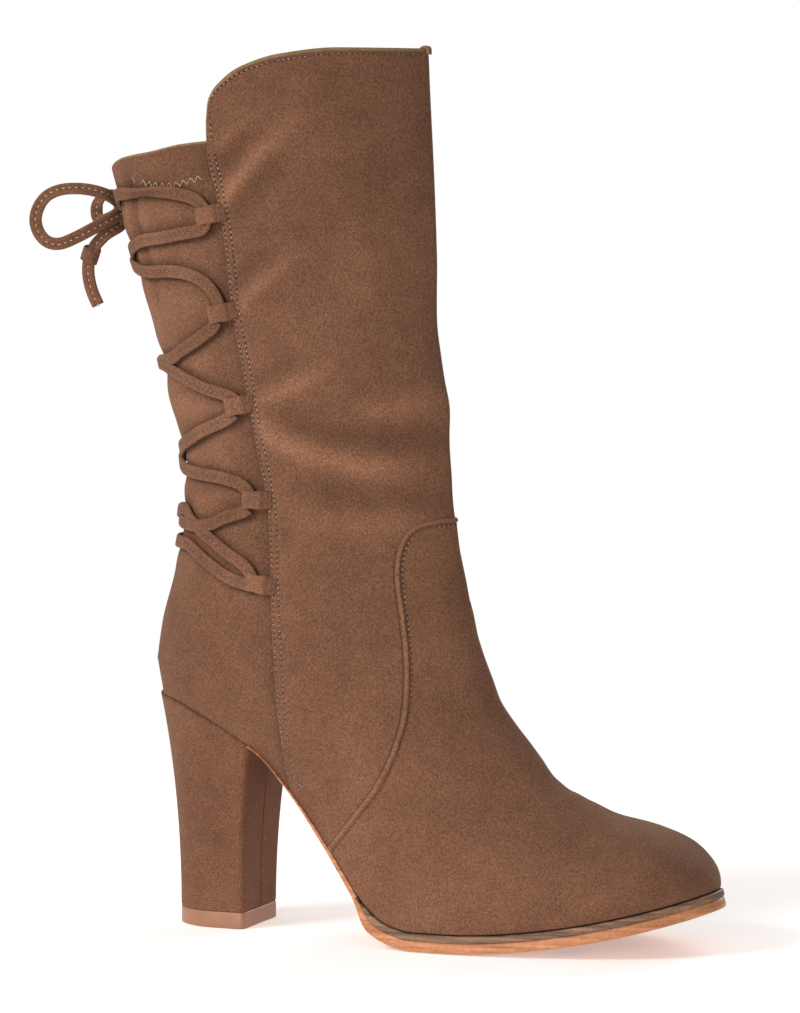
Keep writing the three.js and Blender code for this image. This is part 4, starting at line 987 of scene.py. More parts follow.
# %% Lining
points, quads = [], []
for side in (-1, 1):
    for last, top in ((1.0, collar_z), (0.0, gore_top_z)):  # inside the panel, inside the gore
        turns_at = column_reader(panel_turn, side, [0], 46, WALL, last)
        row_grid = rows_below(top, turns_at, toe_rows(0.3, 25.6, 3.0), [0, 0.4, 1.2], side, WALL)
        turn_grid = turns_at(row_grid)
        depth = np.full(row_grid.shape, WALL)
        depth[0] = WALL - 0.12
        add_grid(points, quads, skin(row_grid, turn_grid, side, depth), flip=(side < 0) == (last > 0))
new_piece("shaft_lining", np.concatenate(points), quads, LINING, "lining", ["upper"])

# %% [markdown]
# ## Soles and heel
# The sole layers follow the feather line. Each is cut with the outline of the last moved out, and
# its edge is eased with a file, so the outline is repeated at a few insets and depths. The heel is a
# D in plan that flares upwards; its suede cover is drawn round the corners and meets in a seam down
# the middle of the breast.

# %% Sole layers
def wedge(x):
    """0 under the shank, 1 from where the midsole has its full thickness."""
    t = np.clip((x / TOE_REACH - 0.345) / 0.05, 0, 1)
    return t * t * (3 - 2 * t)


def sole_outline(start, grow, inset):
    """Plan of a sole layer from the outer side's back, round the toe, to the inner side's back."""
    reach = TOE_REACH + grow - inset
    straight = np.linspace(start, TOE_START, 120, endpoint=False)
    x = np.concatenate([straight, lerp(TOE_START, reach, np.sin(np.linspace(0, np.pi / 2, 60)))])
    half = plan_half(x, grow - inset)
    middle = swing_at(x / TOE_REACH) * BALL_WIDTH
    outer, inner = np.stack([x, middle - half], -1), np.stack([x, middle + half], -1)
    return np.concatenate([outer, inner[-2::-1]])


def below_feather(plan, deep):
    """Points of a plan, at a depth square to the feather line."""
    x = plan[:, 0]
    slope = feather_height(x + 0.5) - feather_height(x - 0.5)
    length = np.hypot(1, slope)
    return np.stack([x + deep * slope / length, plan[:, 1], feather_height(x) - deep / length], -1)


def sole_layer(name, start, grow, profile, finish, slot, node_name):
    """`profile` lists (inset, depth) from the middle of the top, over the edge, to the middle below."""
    rings = []
    for inset, deep in profile:
        plan = sole_outline(start, grow, inset)
        depth = deep(plan[:, 0]) if callable(deep) else np.full(len(plan), deep)
        rings.append(below_feather(plan, depth))
    grid = np.stack(rings)
    rows, columns = grid.shape[:2]
    quads = grid_quads(rows, columns, flip=True)
    for row, turned in ((0, False), (rows - 1, True)):
        base = row * columns
        for i in range(columns // 2):
            quad = [base + i, base + i + 1, base + columns - 2 - i, base + columns - 1 - i]
            quads.append(quad[::-1] if turned else quad)
    for row in range(rows - 1):
        quads.append([row * columns, row * columns + columns - 1, (row + 1) * columns + columns - 1,
                      (row + 1) * columns])
    return new_piece(name, grid.reshape(-1, 3), quads, finish, slot, [node_name], outwards=True)


SEAT, MIDSOLE_THICK = 0.12, 3.1
top_of_outsole = lambda x: SEAT + wedge(x) * MIDSOLE_THICK
outsole_thick = lambda x: lerp(2.9, 4.2, wedge(x))
waist = lambda x: np.clip((x - 24) / 62, 0.12, 1)  # the sole's edge is thinned towards the heel
edge_thick = lambda x: outsole_thick(x) * waist(x)


def down_edge(share):
    """Depth on the outsole's edge, at a share of its thickness."""
    return lambda x: top_of_outsole(x) + edge_thick(x) * share


def above_outsole(gap):
    return lambda x: top_of_outsole(x) - gap


sole_layer("leather_outsole", 21.2, 1.0, [
    (5, top_of_outsole), (0.5, top_of_outsole), (0.12, lambda x: top_of_outsole(x) + 0.05),
    (0, down_edge(0.25)), (0, down_edge(0.6)), (0.15, down_edge(0.9)), (0.6, down_edge(0.985)),
    (1.2, down_edge(1)), (6, lambda x: top_of_outsole(x) + lerp(edge_thick(x), outsole_thick(x), 0.6)),
    (14, lambda x: top_of_outsole(x) + outsole_thick(x))], OUTSOLE_EDGE, "sole_leather", "outsole")
sole_layer("stacked_midsole", 0.352 * TOE_REACH, 1.4, [
    (4, SEAT + 0.3), (1.3, SEAT + 0.3), (0.5, SEAT + 0.32), (0.12, SEAT + 0.5), (0, SEAT + 0.9),
    (0, above_outsole(0.6)), (0.15, above_outsole(0.2)), (0.5, above_outsole(0.02)),
    (5, above_outsole(0.02))], MIDSOLE_EDGE, "stacked_leather", "midsole")
sole_layer("sock_lining", -HEEL_SEAT_REAR + 5.2, -4.6, [
    (7, -2.0), (1.5, -2.0), (0.5, -1.8), (0, -1.3), (0, -0.4), (4, -0.3)], LINING, "lining", "insole")

# %% Heel
BREAST_CORNER, TIP_HEIGHT = 2.4, 6.6


def heel_plan(rear, front, half, straight):
    """Half of the D from its back to the middle of the breast, with a rounded front corner."""
    angle = np.linspace(0, np.pi / 2, 36)
    back = np.stack([-straight - (rear - straight) * np.cos(angle), half * np.sin(angle)], -1)
    side = np.stack([np.linspace(-straight, front - BREAST_CORNER, 12)[1:], np.full(11, half)], -1)
    turn = np.linspace(0, np.pi / 2, 10)[1:]
    corner = np.stack([front - BREAST_CORNER + BREAST_CORNER * np.sin(turn),
                       half - BREAST_CORNER + BREAST_CORNER * np.cos(turn)], -1)
    across = (half - BREAST_CORNER) * (1 - np.linspace(0, 1, 25)[1:] ** 0.75)
    breast = np.stack([np.full(24, front), across], -1)
    return np.concatenate([back, side, corner, breast])


def whole_plan(half_plan):
    return np.concatenate([half_plan * (1, -1), half_plan[-2:0:-1]])


def heel_block(name, levels, finish, slot, node_name, seam):
    """Rings of a D at (share of the height, inset): the cover flares and has a seam, the tip doesn't."""
    foot_plan = whole_plan(heel_plan(17.0, 16.0, 17.5, -3))
    seat_plan = whole_plan(heel_plan(HEEL_SEAT_REAR - 0.3, 20.5, plan_half(0.0, 0) - 0.3, 0))
    rings = []
    for rise, inset in levels:
        flare = max(rise, 0) ** 2.2
        x = lerp(foot_plan[:, 0], seat_plan[:, 0], flare)
        y = lerp(foot_plan[:, 1], seat_plan[:, 1], (max(rise, 0) + flare) / 2)
        top = feather_height(seat_plan[:, 0]) - 0.1
        z = lerp(TIP_HEIGHT + 0.1, top, rise) if seam else np.full(len(x), rise * TIP_HEIGHT)
        if not seam:
            x, y = foot_plan[:, 0] + 0.05, foot_plan[:, 1]
        length = np.hypot(x - 1, y)
        x, y = x - inset * (x - 1) / length, y - inset * y / length
        if seam:
            at_front = foot_plan[:, 0] > 15.9
            x = x - 0.55 * close_to(y, 0, 0.35) * at_front + 0.12 * close_to(y, -0.9, 0.6) * at_front
        rings.append(np.stack([x, y, z], -1))
    grid = np.stack(rings)
    rows, columns = grid.shape[:2]
    quads = grid_quads(rows, columns, around=True)
    down = (1 - np.array([rise for rise, _ in levels])) * 80  # about millimetres below the seat
    # painted shadow along the top edge of the heel's cover, under the upper
    dark = 0.38 * close_to(down, 0, 1.1) if seam else np.zeros(rows)
    painted_shading = np.concatenate([np.repeat(0.5 - dark, columns), [0.5, 0.5]])
    centres = np.array([[1, 0, grid[k, :, 2].mean()] for k in (0, -1)])
    points = np.concatenate([grid.reshape(-1, 3), centres])
    for row, centre in ((0, rows * columns), (rows - 1, rows * columns + 1)):
        quads += [[row * columns + j, row * columns + (j + 1) % columns, centre] for j in range(columns)]
    return new_piece(name, points, quads, finish, slot, [node_name], painted_shading, outwards=True)


cover_levels = [(0.0, 2.0), (0.0, 0.35), (0.004, 0.12), (0.01, 0)] + [(k / 48, 0) for k in range(1, 48)] + [
    (0.993, 0.0), (0.997, 0.15), (1.0, 0.5), (1.0, 3.0)]
heel_block("heel_cover", cover_levels, HEEL_SUEDE, "suede", "heel", True)
tip_levels = [(0.0, 2.0), (0.0, 0.5), (0.03, 0.15), (0.07, 0.0), (0.5, 0.0), (0.93, 0.0), (0.98, 0.12),
              (1.0, 0.4), (1.0, 2)]
heel_block("heel_top_piece", tip_levels, TOP_PIECE, "heel_top_piece", "heel_tip", False)

# %% [markdown]
# ## Lace
# The lace is a strip of suede folded over and stitched along its middle: about 5 mm wide and
# 1.8 mm thick, with soft corners. `ribbon_mesh` sweeps that section along a course, with a direction
# for its face at each point. On the boot the face follows the gore, and the bow's free ends are the
# model's cords, whose routes repeat those of the CAD model.

# %% Ribbon
SECTION = np.array([(-0.5, -0.12), (-0.46, -0.36), (-0.36, -0.48), (-0.06, -0.5), (0, -0.42), (0.06, -0.5),
                    (0.36, -0.48), (0.46, -0.36), (0.5, -0.12), (0.5, 0.12), (0.46, 0.36), (0.36, 0.48),
                    (0.06, 0.5), (0, 0.42), (-0.06, 0.5), (-0.36, 0.48), (-0.46, 0.36), (-0.5, 0.12)])


def ribbon_mesh(centre, face, wide, thick, section=SECTION):
    """Points and quads of a closed strip; `face` is the direction its broad side looks."""
    tangent = np.gradient(centre, axis=0)
    tangent /= np.linalg.norm(tangent, axis=1, keepdims=True)
    face = face - tangent * (face * tangent).sum(-1, keepdims=True)
    face /= np.linalg.norm(face, axis=1, keepdims=True)
    across = np.cross(face, tangent)
    wide, thick = np.broadcast_to(wide, len(centre)), np.broadcast_to(thick, len(centre))
    grid = (centre[:, None, :] + across[:, None, :] * (section[None, :, 0] * wide[:, None])[..., None]
            + face[:, None, :] * (section[None, :, 1] * thick[:, None])[..., None])
    rows, columns = grid.shape[:2]
    quads = grid_quads(rows, columns, around=True)
    half = columns // 2
    for row in (0, rows - 1):
        for i in range(half - 1):
            quads.append([row * columns + i, row * columns + i + 1,
                          row * columns + columns - 2 - i, row * columns + columns - 1 - i])
    return grid.reshape(-1, 3), quads, face, across


def strip_painted_shading(count, middle, edge):
    """Painted shading of a strip: `edge` where it is folded, `middle` along its stitched middle, which is
    given painted shade.
    """
    return np.tile(lerp(middle, edge, np.abs(SECTION[:, 0]) * 2), count)


def joined(meshes):
    """Several meshes as one list of points and one of quads."""
    points, quads, start = [], [], 0
    for part, faces in meshes:
        points.append(part)
        quads += [[corner + start for corner in face] for face in faces]
        start += len(part)
    return np.concatenate(points), quads


LACE_WIDE, LACE_THICK = 5.0, 1.8
STRAND_LIFT, LOOP_LIFT, CROSS_LIFT = 1.45, 0.6, 1.75  # over the gore, more at a loop, over a strand
lace_lines, free_lines = [], []  # middles of the lace's faces, for its stitches


def remember(centre, face, both=False):
    """Keeps the middle of a strand's face, or of both faces where it hangs free."""
    (free_lines if both else lace_lines).append((centre + face * LACE_THICK * 0.43, face))
    if both:
        free_lines.append((centre - face * LACE_THICK * 0.43, -face))


strand_meshes = {}
for name, course in courses.items():
    place, normal, turn = lay(course, 0.0)
    share = np.linspace(0, 1, len(place))
    over = 1.0 if "up" in name else 0.0
    crossing = close_to(turn, 0, 0.075)
    at_loop = np.clip((np.abs(share - 0.5) * 2 - 0.86) / 0.14, 0, 1)
    lift = STRAND_LIFT + at_loop * LOOP_LIFT + over * CROSS_LIFT * crossing
    centre, face = place + normal * lift[:, None], normal
    if name == "strand_top":  # it rolls on its edge before each loop
        tangent = np.gradient(centre, axis=0)
        tangent /= np.linalg.norm(tangent, axis=1, keepdims=True)
        roll = 0.95 * close_to(np.abs(turn), 0.27, 0.055) * np.sign(turn)
        face = normal * np.cos(roll)[:, None] + np.cross(tangent, normal) * np.sin(roll)[:, None]
        centre = centre + normal * (0.9 * np.abs(np.sin(roll)))[:, None]
    points, quads, face, _ = ribbon_mesh(centre, face, LACE_WIDE, LACE_THICK)
    strand_meshes[name] = (points, quads)
    remember(centre, face)
for index in range(4):
    pair = [strand_meshes[f"strand_{way}_{index + 1}"] for way in ("down", "up")]
    points, quads = joined(pair)
    new_piece(f"lace_cross_{index + 1}", points, quads, LACE_SUEDE, "lace_suede",
              [f"lace_crossing_{index + 1}"], strip_painted_shading(len(points) // len(SECTION), 0.40, 0.58))
for word in ("top", "low"):
    points, quads = strand_meshes[f"strand_{word}"]
    new_piece(f"lace_{word}", points, quads, LACE_SUEDE, "lace_suede", [f"lace_bar_{word}"],
              strip_painted_shading(len(points) // len(SECTION), 0.40, 0.58))

# %% [markdown]
# ## Loops
# Each loop is a short strap, folded round the lace and caught under the edge of the side panel. Its
# course is a long U in plan: in from under the panel, round the lace and back.

# %% Loops
LOOP_UPS = [0.746, 0.596, 0.455, 0.312, 0.184]  # shares of the shaft's height
LOOP_COURSE = [(-7.5, 0.75), (-4.8, 1.6), (-3.2, 3.0), (0, 3.45), (2.6, 3.25), (3.75, 2.6), (4.15, 1.7),
               (3.7, 0.8), (2.4, 0.45), (-1, 0.35), (-5, 0.3)]  # rearward and away from the gore
STRAP = np.array([(-0.5, -0.2), (-0.48, -0.42), (-0.42, -0.5), (0, -0.53), (0.42, -0.5), (0.48, -0.42),
                  (0.5, -0.2), (0.5, 0.2), (0.48, 0.42), (0.42, 0.5), (0, 0.53), (-0.42, 0.5),
                  (-0.48, 0.42), (-0.5, 0.2)])
for side, word in ((-1, "outer"), (1, "inner")):
    for index, up in enumerate(LOOP_UPS):
        z = HEEL_HEIGHT + up * SHAFT_HEIGHT
        x = float(panel_x(z)) - 5.2
        row, turn = find_place(np.array([x]), np.array([z]))
        place = skin(row, turn, side, PANEL_STEP)[0]
        normal = outward(row, turn, side, PANEL_STEP)[0][0]
        rise = skin(row - 0.1, turn, side, PANEL_STEP)[0] - place
        rise -= normal * (rise @ normal)
        rise /= np.linalg.norm(rise)
        rearward = np.cross(normal, rise)
        rearward *= -np.sign(rearward[0])
        course = smooth_path(LOOP_COURSE, 0.5)
        centre = place + course[:, :1] * rearward + course[:, 1:] * normal
        tangent = np.gradient(centre, axis=0)
        face = np.cross(tangent, rise)
        points, quads, _, _ = ribbon_mesh(centre, face, 6.9 - 0.25 * np.cos(course[:, 0]), 0.95, STRAP)
        turns = np.repeat(course[:, 0], len(STRAP))
        # painted shading: the strap a little lighter all over, with a painted shadow where it goes in under
        # the panel's edge
        painted_tone = 0.60 - 0.25 * close_to(turns, -6.5, 1.2)
        new_piece(f"loop_{word}_{index + 1}", points, quads, LACE_SUEDE, "lace_suede",
                  [f"lace_loop_{word}_{index + 1}"], painted_tone)

# %% [markdown]
# ## Front tab
# A small strip is folded over the collar at the front crease, where the two panels meet. It is the
# loops' strap once more, swept from the outside over the edge to the lining.

# %% Front tab
tab_row = float(panel_grids[-1][0][0, -1])
outer_part = [skin(tab_row + drop, 1.0, -1, -0.55) for drop in (0.08, 0.05, 0.02)]
inner_part = [skin(tab_row + drop, 1.0, -1, WALL + 0.5) for drop in (0.03, 0.12)]
over = [outer_part[-1] + (-0.3, 0, 0.8), (outer_part[-1] + inner_part[0]) / 2 + (0, 0, 1.2),
        inner_part[0] + (0.3, 0, 0.7)]
course = smooth_path(outer_part + over + inner_part, 0.4)
face = np.cross(np.gradient(course, axis=0), (0, 1, 0))
points, quads, _, _ = ribbon_mesh(course, face, 3.0, 1.3, STRAP)
# the tab is drawn lighter all over
new_piece("front_tab", points, quads, LACE_SUEDE, "suede", painted_shading=np.full(len(points), 0.7), outwards=True)

# %% [markdown]
# ## Bow, ends and knots
# The bow and the two ends hang free: they are strips swept along given routes, as long as they
# look in the photograph. A knot is the same strip wound round itself, pulled tight.

# %% Bow and ends
ROUTES = {
    "bow_outer": [
        (-46.5, 4.1, 286), (-46.4, -1, 287.6), (-48, -6, 289.6), (-52.5, -9.5, 291.2), (-58, -12, 291.8),
        (-64.3, -13, 291.2), (-69.6, -14, 288.8), (-73.3, -14, 284.4), (-74.7, -14, 279.2),
        (-73.4, -13.5, 274.1), (-69.7, -13, 270.5), (-64.9, -12, 269.9), (-58.8, -11, 272.2),
        (-52.5, -9, 275.6), (-46.8, -5, 279.2), (-44.2, 0.5, 281.6), (-45.8, 4.2, 282.6)],
    "bow_inner": [
        (-49.4, 9.5, 286.4), (-53, 11.5, 289), (-58, 15, 288.4), (-62.2, 18, 285.6), (-63.8, 20, 282),
        (-62.3, 19, 279.2), (-57.5, 15.5, 279.2), (-52.8, 12, 280.4), (-49.5, 9.6, 281.8)],
    "end_outer": [
        (-46.2, 5.4, 278.9), (-44.9, 2, 277.2), (-45.2, -1.5, 276), (-48, -4.5, 273.8), (-50.9, -5.5, 270.9),
        (-52.4, -6, 268.9), (-54.4, -6, 265.4), (-55.3, -6, 261.8), (-55.4, -6, 258), (-54.7, -6, 253.8),
        (-53.2, -6, 249.5), (-51.2, -6, 245.5)],
    "end_inner": [
        (-45.8, 12.9, 279.6), (-44.5, 16, 276.5), (-42.8, 19.5, 272), (-41.5, 22, 267.2),
        (-40.9, 23.5, 263.6), (-40.4, 24.3, 259.8), (-40, 25, 255), (-39.8, 25.3, 250), (-39.6, 25.5, 246)],
}
NODES = {
    "bow_outer": ["lace_bow_outer"], "bow_inner": ["lace_bow_inner"],
    "end_outer": ["lace_end_outer", "lace_tail_outer"], "end_inner": ["lace_end_inner", "lace_tail_inner"]}


def knot_mesh(place, axis, size, turns, wide, tilt):
    """A strip wound round an axis, tight, with a filled middle."""
    axis = np.array(axis, float) / np.linalg.norm(axis)
    one = np.cross(axis, (0.3, -1, 0.2))
    one /= np.linalg.norm(one)
    other = np.cross(axis, one)
    angle = np.linspace(0, 2 * np.pi * turns, int(26 * turns))
    swing = tilt * np.sin(angle * 0.5 + 0.6) * size[0]
    out = np.cos(angle)[:, None] * one + np.sin(angle)[:, None] * other
    centre = np.array(place) + out * size[1] + axis * swing[:, None]
    return ribbon_mesh(centre, out, wide, LACE_THICK)[:2]


free_pieces = {}
for name, route in ROUTES.items():
    centre = smooth_path(route, 0.9)
    length = np.linalg.norm(np.diff(centre, axis=0), axis=1).sum()
    face = np.tile(np.array([0.30, -1.0, 0.12]), (len(centre), 1))
    share = np.linspace(0, 1, len(centre))
    if name.startswith("bow"):
        roll = 0.5 * np.sin(2 * np.pi * share)
        face = face + np.stack([np.zeros_like(roll), np.zeros_like(roll), roll], -1)
    points, quads, faces, _ = ribbon_mesh(centre, face, LACE_WIDE, LACE_THICK)
    remember(centre, faces, both=True)
    piece = new_piece(f"lace_{name}_strip", points, quads, LACE_SUEDE, "lace_suede", NODES[name],
                      strip_painted_shading(len(centre), 0.42, 0.58))
    free_pieces[name] = (piece, centre / 1000, length / 1000)
TIP_KNOTS = {"outer": ((-54.4, -6, 265.4), (-0.35, 0, -1)), "inner": ((-40.9, 23.5, 263.6), (0.1, 0.2, -1))}
for word, (place, axis) in TIP_KNOTS.items():
    first = knot_mesh(place, axis, (3.0, 2.7), 1.6, 4.8, 0.4)
    second = knot_mesh(place, (1, 0.3, -0.55), (2.8, 2.7), 1.0, 4.0, 0.25)
    knot = new_piece(f"tip_knot_{word}", *joined([first, second]), LACE_SUEDE, "lace_suede",
                     [f"lace_tip_knot_{word}"])
    piece, path, length = free_pieces[f"end_{word}"]
for word in ("outer", "inner"):
    piece, path, length = free_pieces[f"bow_{word}"]
BOW_KNOT = (-46, 9, 283)
knot_parts = [knot_mesh(BOW_KNOT, (0.2, 1, 0.1), (3.2, 3.0), 1.5, 4.8, 0.3),
              knot_mesh(BOW_KNOT, (0.3, 0.2, 1), (3.0, 2.9), 1.0, 4.4, 0.2)]
new_piece("bow_knot", *joined(knot_parts), LACE_SUEDE, "lace_suede", ["lace_knot"])
for name, (_, _, length) in free_pieces.items():
    print(name, round(length * 1000), "mm")

# %% [markdown]
# ## Stitches
# Every seam is a row of the same small thing, so one Geometry Nodes tree makes them all: it turns a
# line into a curve, cuts it into even steps and puts a small oval of thread on each, turned along
# the line and away from the leather. Its inputs are named, so each seam gets its own pitch.

# %% Stitch tree
def stitch_tree():
    """The tree that sews: a line comes in, and stitches with their finish come out."""
    tree = bpy.data.node_groups.new("stitches_along_a_line", "GeometryNodeTree")
    tree.interface.new_socket("Geometry", in_out="INPUT", socket_type="NodeSocketGeometry")
    for label in ("Pitch", "Length", "Width", "Height", "Shift"):
        tree.interface.new_socket(label, in_out="INPUT", socket_type="NodeSocketFloat")
    tree.interface.new_socket("Finish", in_out="INPUT", socket_type="NodeSocketMaterial")
    tree.interface.new_socket("Geometry", in_out="OUTPUT", socket_type="NodeSocketGeometry")
    add, link = tree.nodes.new, tree.links.new
    given, result = add("NodeGroupInput"), add("NodeGroupOutput")
    to_curve = add("GeometryNodeMeshToCurve")
    link(given.outputs["Geometry"], to_curve.inputs[0])
    facing = add("GeometryNodeInputNamedAttribute")
    facing.data_type = "FLOAT_VECTOR"
    facing.inputs["Name"].default_value = "facing"
    trim = add("GeometryNodeTrimCurve")
    trim.mode = "LENGTH"
    link(to_curve.outputs[0], trim.inputs["Curve"])
    link(given.outputs["Shift"], trim.inputs[4])
    trim.inputs[5].default_value = 100.0
    evened = add("GeometryNodeResampleCurve")
    evened.mode = "LENGTH"
    link(trim.outputs[0], evened.inputs["Curve"])
    link(given.outputs["Pitch"], evened.inputs["Length"])
    tangent = add("GeometryNodeInputTangent")
    align_x = add("FunctionNodeAlignRotationToVector")
    align_x.axis = "X"
    link(tangent.outputs[0], align_x.inputs["Vector"])
    align_z = add("FunctionNodeAlignRotationToVector")
    align_z.axis = "Z"
    align_z.pivot_axis = "X"
    link(align_x.outputs[0], align_z.inputs["Rotation"])
    link(facing.outputs["Attribute"], align_z.inputs["Vector"])
    thread = add("GeometryNodeMeshUVSphere")
    thread.inputs["Segments"].default_value = 6
    thread.inputs["Rings"].default_value = 5
    thread.inputs["Radius"].default_value = 0.5
    size = add("ShaderNodeCombineXYZ")
    for index, label in enumerate(("Length", "Width", "Height")):
        link(given.outputs[label], size.inputs[index])
    shaped = add("GeometryNodeTransform")
    link(thread.outputs["Mesh"], shaped.inputs["Geometry"])
    link(size.outputs[0], shaped.inputs["Scale"])
    placed = add("GeometryNodeInstanceOnPoints")
    link(evened.outputs[0], placed.inputs["Points"])
    link(shaped.outputs[0], placed.inputs["Instance"])
    link(align_z.outputs[0], placed.inputs["Rotation"])
    real = add("GeometryNodeRealizeInstances")
    link(placed.outputs[0], real.inputs[0])
    finish = add("GeometryNodeSetMaterial")
    link(real.outputs[0], finish.inputs["Geometry"])
    link(given.outputs["Finish"], finish.inputs["Material"])
    link(finish.outputs[0], result.inputs[0])
    return tree


STITCHES = stitch_tree()


def sew(name, lines, finish, pitch, length, width, height, shift=0.0):
    """Stitches along lines of (points, normals) in millimetres, as one piece."""
    points, edges, normals = [], [], []
    for line, normal in lines:
        start = sum(len(part) for part in points)
        points.append(line)
        normals.append(normal)
        edges += [(start + i, start + i + 1) for i in range(len(line) - 1)]
    mesh = bpy.data.meshes.new(name + "_line")
    mesh.from_pydata((np.concatenate(points) / 1000).tolist(), edges, [])
    facing = mesh.attributes.new("facing", "FLOAT_VECTOR", "POINT")
    facing.data.foreach_set("vector", np.concatenate(normals).astype(np.float32).reshape(-1))
    guide = bpy.data.objects.new(name + "_line", mesh)
    bpy.context.scene.collection.objects.link(guide)
    modifier = guide.modifiers.new("stitches", "NODES")
    modifier.node_group = STITCHES
    values = {"Pitch": pitch / 1000, "Length": length / 1000, "Width": width / 1000,
              "Height": height / 1000, "Shift": shift / 1000, "Finish": finish}
    for item in STITCHES.interface.items_tree:
        if item.in_out == "INPUT" and item.name in values:
            modifier[item.identifier] = values[item.name]
    bpy.context.view_layer.update()
    evaluated = guide.evaluated_get(bpy.context.evaluated_depsgraph_get())
    result = bpy.data.meshes.new_from_object(evaluated)
    result.name = name
    bpy.data.objects.remove(guide)
    bpy.data.meshes.remove(mesh)
    result.polygons.foreach_set("use_smooth", [True] * len(result.polygons))
    piece = bpy.data.objects.new(name, result)
    bpy.context.scene.collection.objects.link(piece)
    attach(piece, "root")
    print(name, len(result.polygons), "faces")


# %% [markdown]
# ## Rows of stitches
# Two rows hold each panel's rear edge, and one row the collar, the vamp and the counter. Between two
# stitches the thread goes down through a needle hole, half a pitch on. The top of the gore is held
# by a zigzag, which gives with the elastic, so it is one strip bent to and fro.

# %% Rows of stitches
def seam_line(row, turn, side, away, depth):
    """A seam's line `away` from its path, with the leather's normals, evenly spaced."""
    if away:
        row, turn = beside(row, turn, side, away)
        row, turn = row[turn > 0.004], turn[turn > 0.004]
    place, normal = skin(row, turn, side, depth), outward(row, turn, side, depth)[0]
    both = evenly(np.concatenate([place, normal], 1), 0.8, by=place)
    normal = both[:, 3:] / np.linalg.norm(both[:, 3:], axis=1, keepdims=True)
    return both[:, :3], normal


def on_creases(line, side, away):
    """The line lifted with the panel's creases, which begin at its edge."""
    place, normal = line
    return place + normal * crease_height(place, side)[:, None] * min(1, away / 6), normal


ZIGZAG = [(1.97, 0.234), (2.03, 0.272), (2.07, 0.302), (2.09, 0.328), (2.09, 0.354),
          (2.07, 0.378), (2.04, 0.402), (2.01, 0.424)]
panel_seams, collar_seams, vamp_seams, gore_seams, zigzags = [], [], [], [], []
for side in (-1, 1):
    z = np.linspace(306, 50, 800)
    row, turn = find_place(panel_x(z), z)
    row, turn = row[(turn > 0.035) & (row < SEAM_END)], turn[(turn > 0.035) & (row < SEAM_END)]
    for away in PANEL_STITCHES:
        panel_seams.append(on_creases(seam_line(row, turn, side, away, 0.02), side, away))
    z = np.linspace(318, 306.5, 60)
    row, turn = find_place(panel_x(z), z)
    panel_seams.append(on_creases(seam_line(row, turn, side, 2.3, 0.02), side, 2.3))
    row_grid, turn_grid = panel_grids[side]
    level = COLLAR_AWAY.index(COLLAR_STITCHES)
    collar_seams.append(seam_line(row_grid[level, 8:-1], turn_grid[level, 8:-1], side, 0, 0.02))
    show = np.linspace(0, 1, len(vamp_row)) < 0.62  # further down the stitches sink in
    vamp_seams.append(seam_line(vamp_row[show], vamp_turn_at_row[show], side, 3.0, -0.72))
    seam = smooth_path([(7.17, 0.355), (7.29, 0.386), (7.43, 0.414), (7.57, 0.444)], 0.02)
    gore_seams.append(seam_line(seam[:, 0], seam[:, 1], side, 0, PANEL_STEP))
    zigzag = smooth_path(ZIGZAG, 0.002)
    place, normal = seam_line(zigzag[:, 0], zigzag[:, 1], side, 0, PANEL_STEP - 0.15)
    place, normal = [evenly(part, 1.7, by=place) for part in (place, normal)]
    up = np.cross(normal, np.gradient(place, axis=0))
    up /= np.linalg.norm(up, axis=1, keepdims=True)
    place = place + up * 1.1 * (-1.0) ** np.arange(len(place))[:, None]
    zigzags.append(ribbon_mesh(place, normal, 0.36, 0.36)[:2])
PITCH = 2.1  # each call below gives the pitch, then the length, width and height of a stitch
sew("panel_stitches", panel_seams, THREAD, PITCH, 1.0, 0.44, 0.46)
# the needle holes: dark ovals of painted shade, half a pitch on
sew("panel_needle_holes", panel_seams, HOLE_SHADE, PITCH, 0.95, 0.7, 0.42, shift=PITCH / 2)
for word, seams in (("collar", collar_seams), ("vamp", vamp_seams)):
    sew(f"{word}_stitches", seams, THREAD, PITCH, 0.95, 0.42, 0.44)
    sew(f"{word}_needle_holes", seams, HOLE_SHADE, PITCH, 1.0, 0.7, 0.42, shift=PITCH / 2)
new_piece("gore_zigzag", *joined(zigzags), PALE_THREAD, "suede")
# the counter's row is only dark ovals in the holes' painted shade
sew("counter_stitches", gore_seams, HOLE_SHADE, 1.7, 1.0, 0.4, 0.3)
# the same thread: a shaded copy on the strands, a lit copy on the bow and ends
sew("lace_stitches", lace_lines, SHADED_LACE_THREAD, 2.4, 1.1, 0.3, 0.26)
sew("free_lace_stitches", free_lines, LIT_LACE_THREAD, 2.6, 1.3, 0.3, 0.28)
sew("lace_needle_holes", lace_lines + free_lines, HOLE_SHADE, 2.6, 0.5, 0.34, 0.2, shift=1.3)

# %% [markdown]
# ## Floor and light
# The photograph was made on white, under large soft lights. The world is white where the camera sees
# it and dimmer where it lights the boot, so that the creases keep their shade. A broad key light
# stands at the upper left of the camera, a small one low in front lights the heel and the sole, and a
# third fills the inner side. The floor is a pale disc with a slight glow of its own, which fades out,
# so that only the soft shadow under the boot shows.

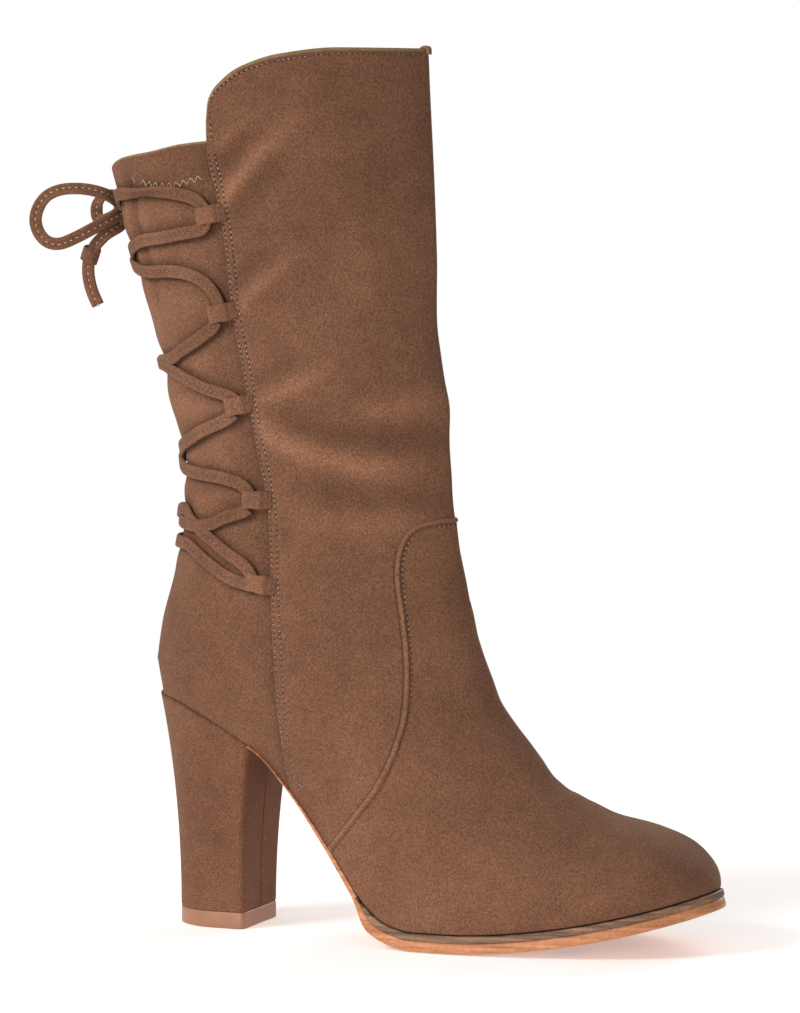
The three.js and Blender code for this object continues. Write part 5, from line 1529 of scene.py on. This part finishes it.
# %% Floor and light
BACKDROP, LIGHTING, FLOOR_GLOW = 1.0, 0.42, 0.32  # strength seen, strength that lights, the floor's
FLOOR_RADIUS, FADE_FROM, FADE_TO = 0.65, 0.26, 0.50
bpy.context.scene.view_settings.view_transform = "Standard"
world = bpy.data.worlds.new("studio")
world.use_nodes = True
world.node_tree.nodes["Background"].inputs["Color"].default_value = (1, 1, 1, 1)
seen = node(world.node_tree, "ShaderNodeLightPath").outputs["Is Camera Ray"]
strength = node(world.node_tree, "ShaderNodeMapRange", [(seen, "Value")])
strength.inputs["To Min"].default_value, strength.inputs["To Max"].default_value = LIGHTING, BACKDROP
world.node_tree.links.new(strength.outputs[0], world.node_tree.nodes["Background"].inputs["Strength"])
bpy.context.scene.world = world

floor_finish, floor_shader = new_finish("pale_floor", 0.8)
tree = floor_finish.node_tree
floor_shader.inputs["Specular IOR Level"].default_value = 0.1
floor_shader.inputs["Emission Color"].default_value = (1, 0.96, 0.94, 1)
floor_shader.inputs["Emission Strength"].default_value = FLOOR_GLOW
ground = node(tree, "ShaderNodeTexCoord").outputs["Object"]
far = node(tree, "ShaderNodeVectorMath", [(ground, 0)], operation="LENGTH").outputs["Value"]
fade = node(tree, "ShaderNodeMapRange", [(far, "Value")])
fade.inputs["From Min"].default_value, fade.inputs["From Max"].default_value = FADE_FROM, FADE_TO
fade.inputs["To Min"].default_value, fade.inputs["To Max"].default_value = 1, 0
tree.links.new(fade.outputs[0], floor_shader.inputs["Alpha"])
faint = ramp(tree, noise(tree, 0.05, 2), [(0.3, (0.95, 0.915, 0.90)), (0.7, (0.965, 0.93, 0.915))])
tree.links.new(faint, floor_shader.inputs["Base Color"])
angle = np.linspace(0, 2 * np.pi, 96, endpoint=False)
disc = bpy.data.meshes.new("floor")
rim = [(FLOOR_RADIUS * math.cos(a), FLOOR_RADIUS * math.sin(a), 0) for a in angle]
disc.from_pydata(rim, [], [list(range(len(rim)))])
disc.materials.append(floor_finish)
floor = bpy.data.objects.new("floor", disc)
bpy.context.scene.collection.objects.link(floor)


def soft_light(name, place, aim, size, power):
    """A square white light at a place, turned to what it lights."""
    light = bpy.data.lights.new(name, "AREA")
    light.size, light.energy = size, power
    lamp = bpy.data.objects.new(name, light)
    lamp.location = place
    lamp.rotation_euler = (Vector(aim) - Vector(place)).to_track_quat("-Z", "Y").to_euler()
    bpy.context.scene.collection.objects.link(lamp)


soft_light("key", (-0.9, -1.15, 1.1), (0.06, 0, 0.1), 0.6, 19)
soft_light("low_front", (0.08, -1.05, 0.15), (0.08, 0, 0.0), 0.4, 5)
soft_light("inner_fill", (0.35, 1.5, 0.8), (0.05, 0, 0.12), 0.9, 13)
print("floor and lights set")
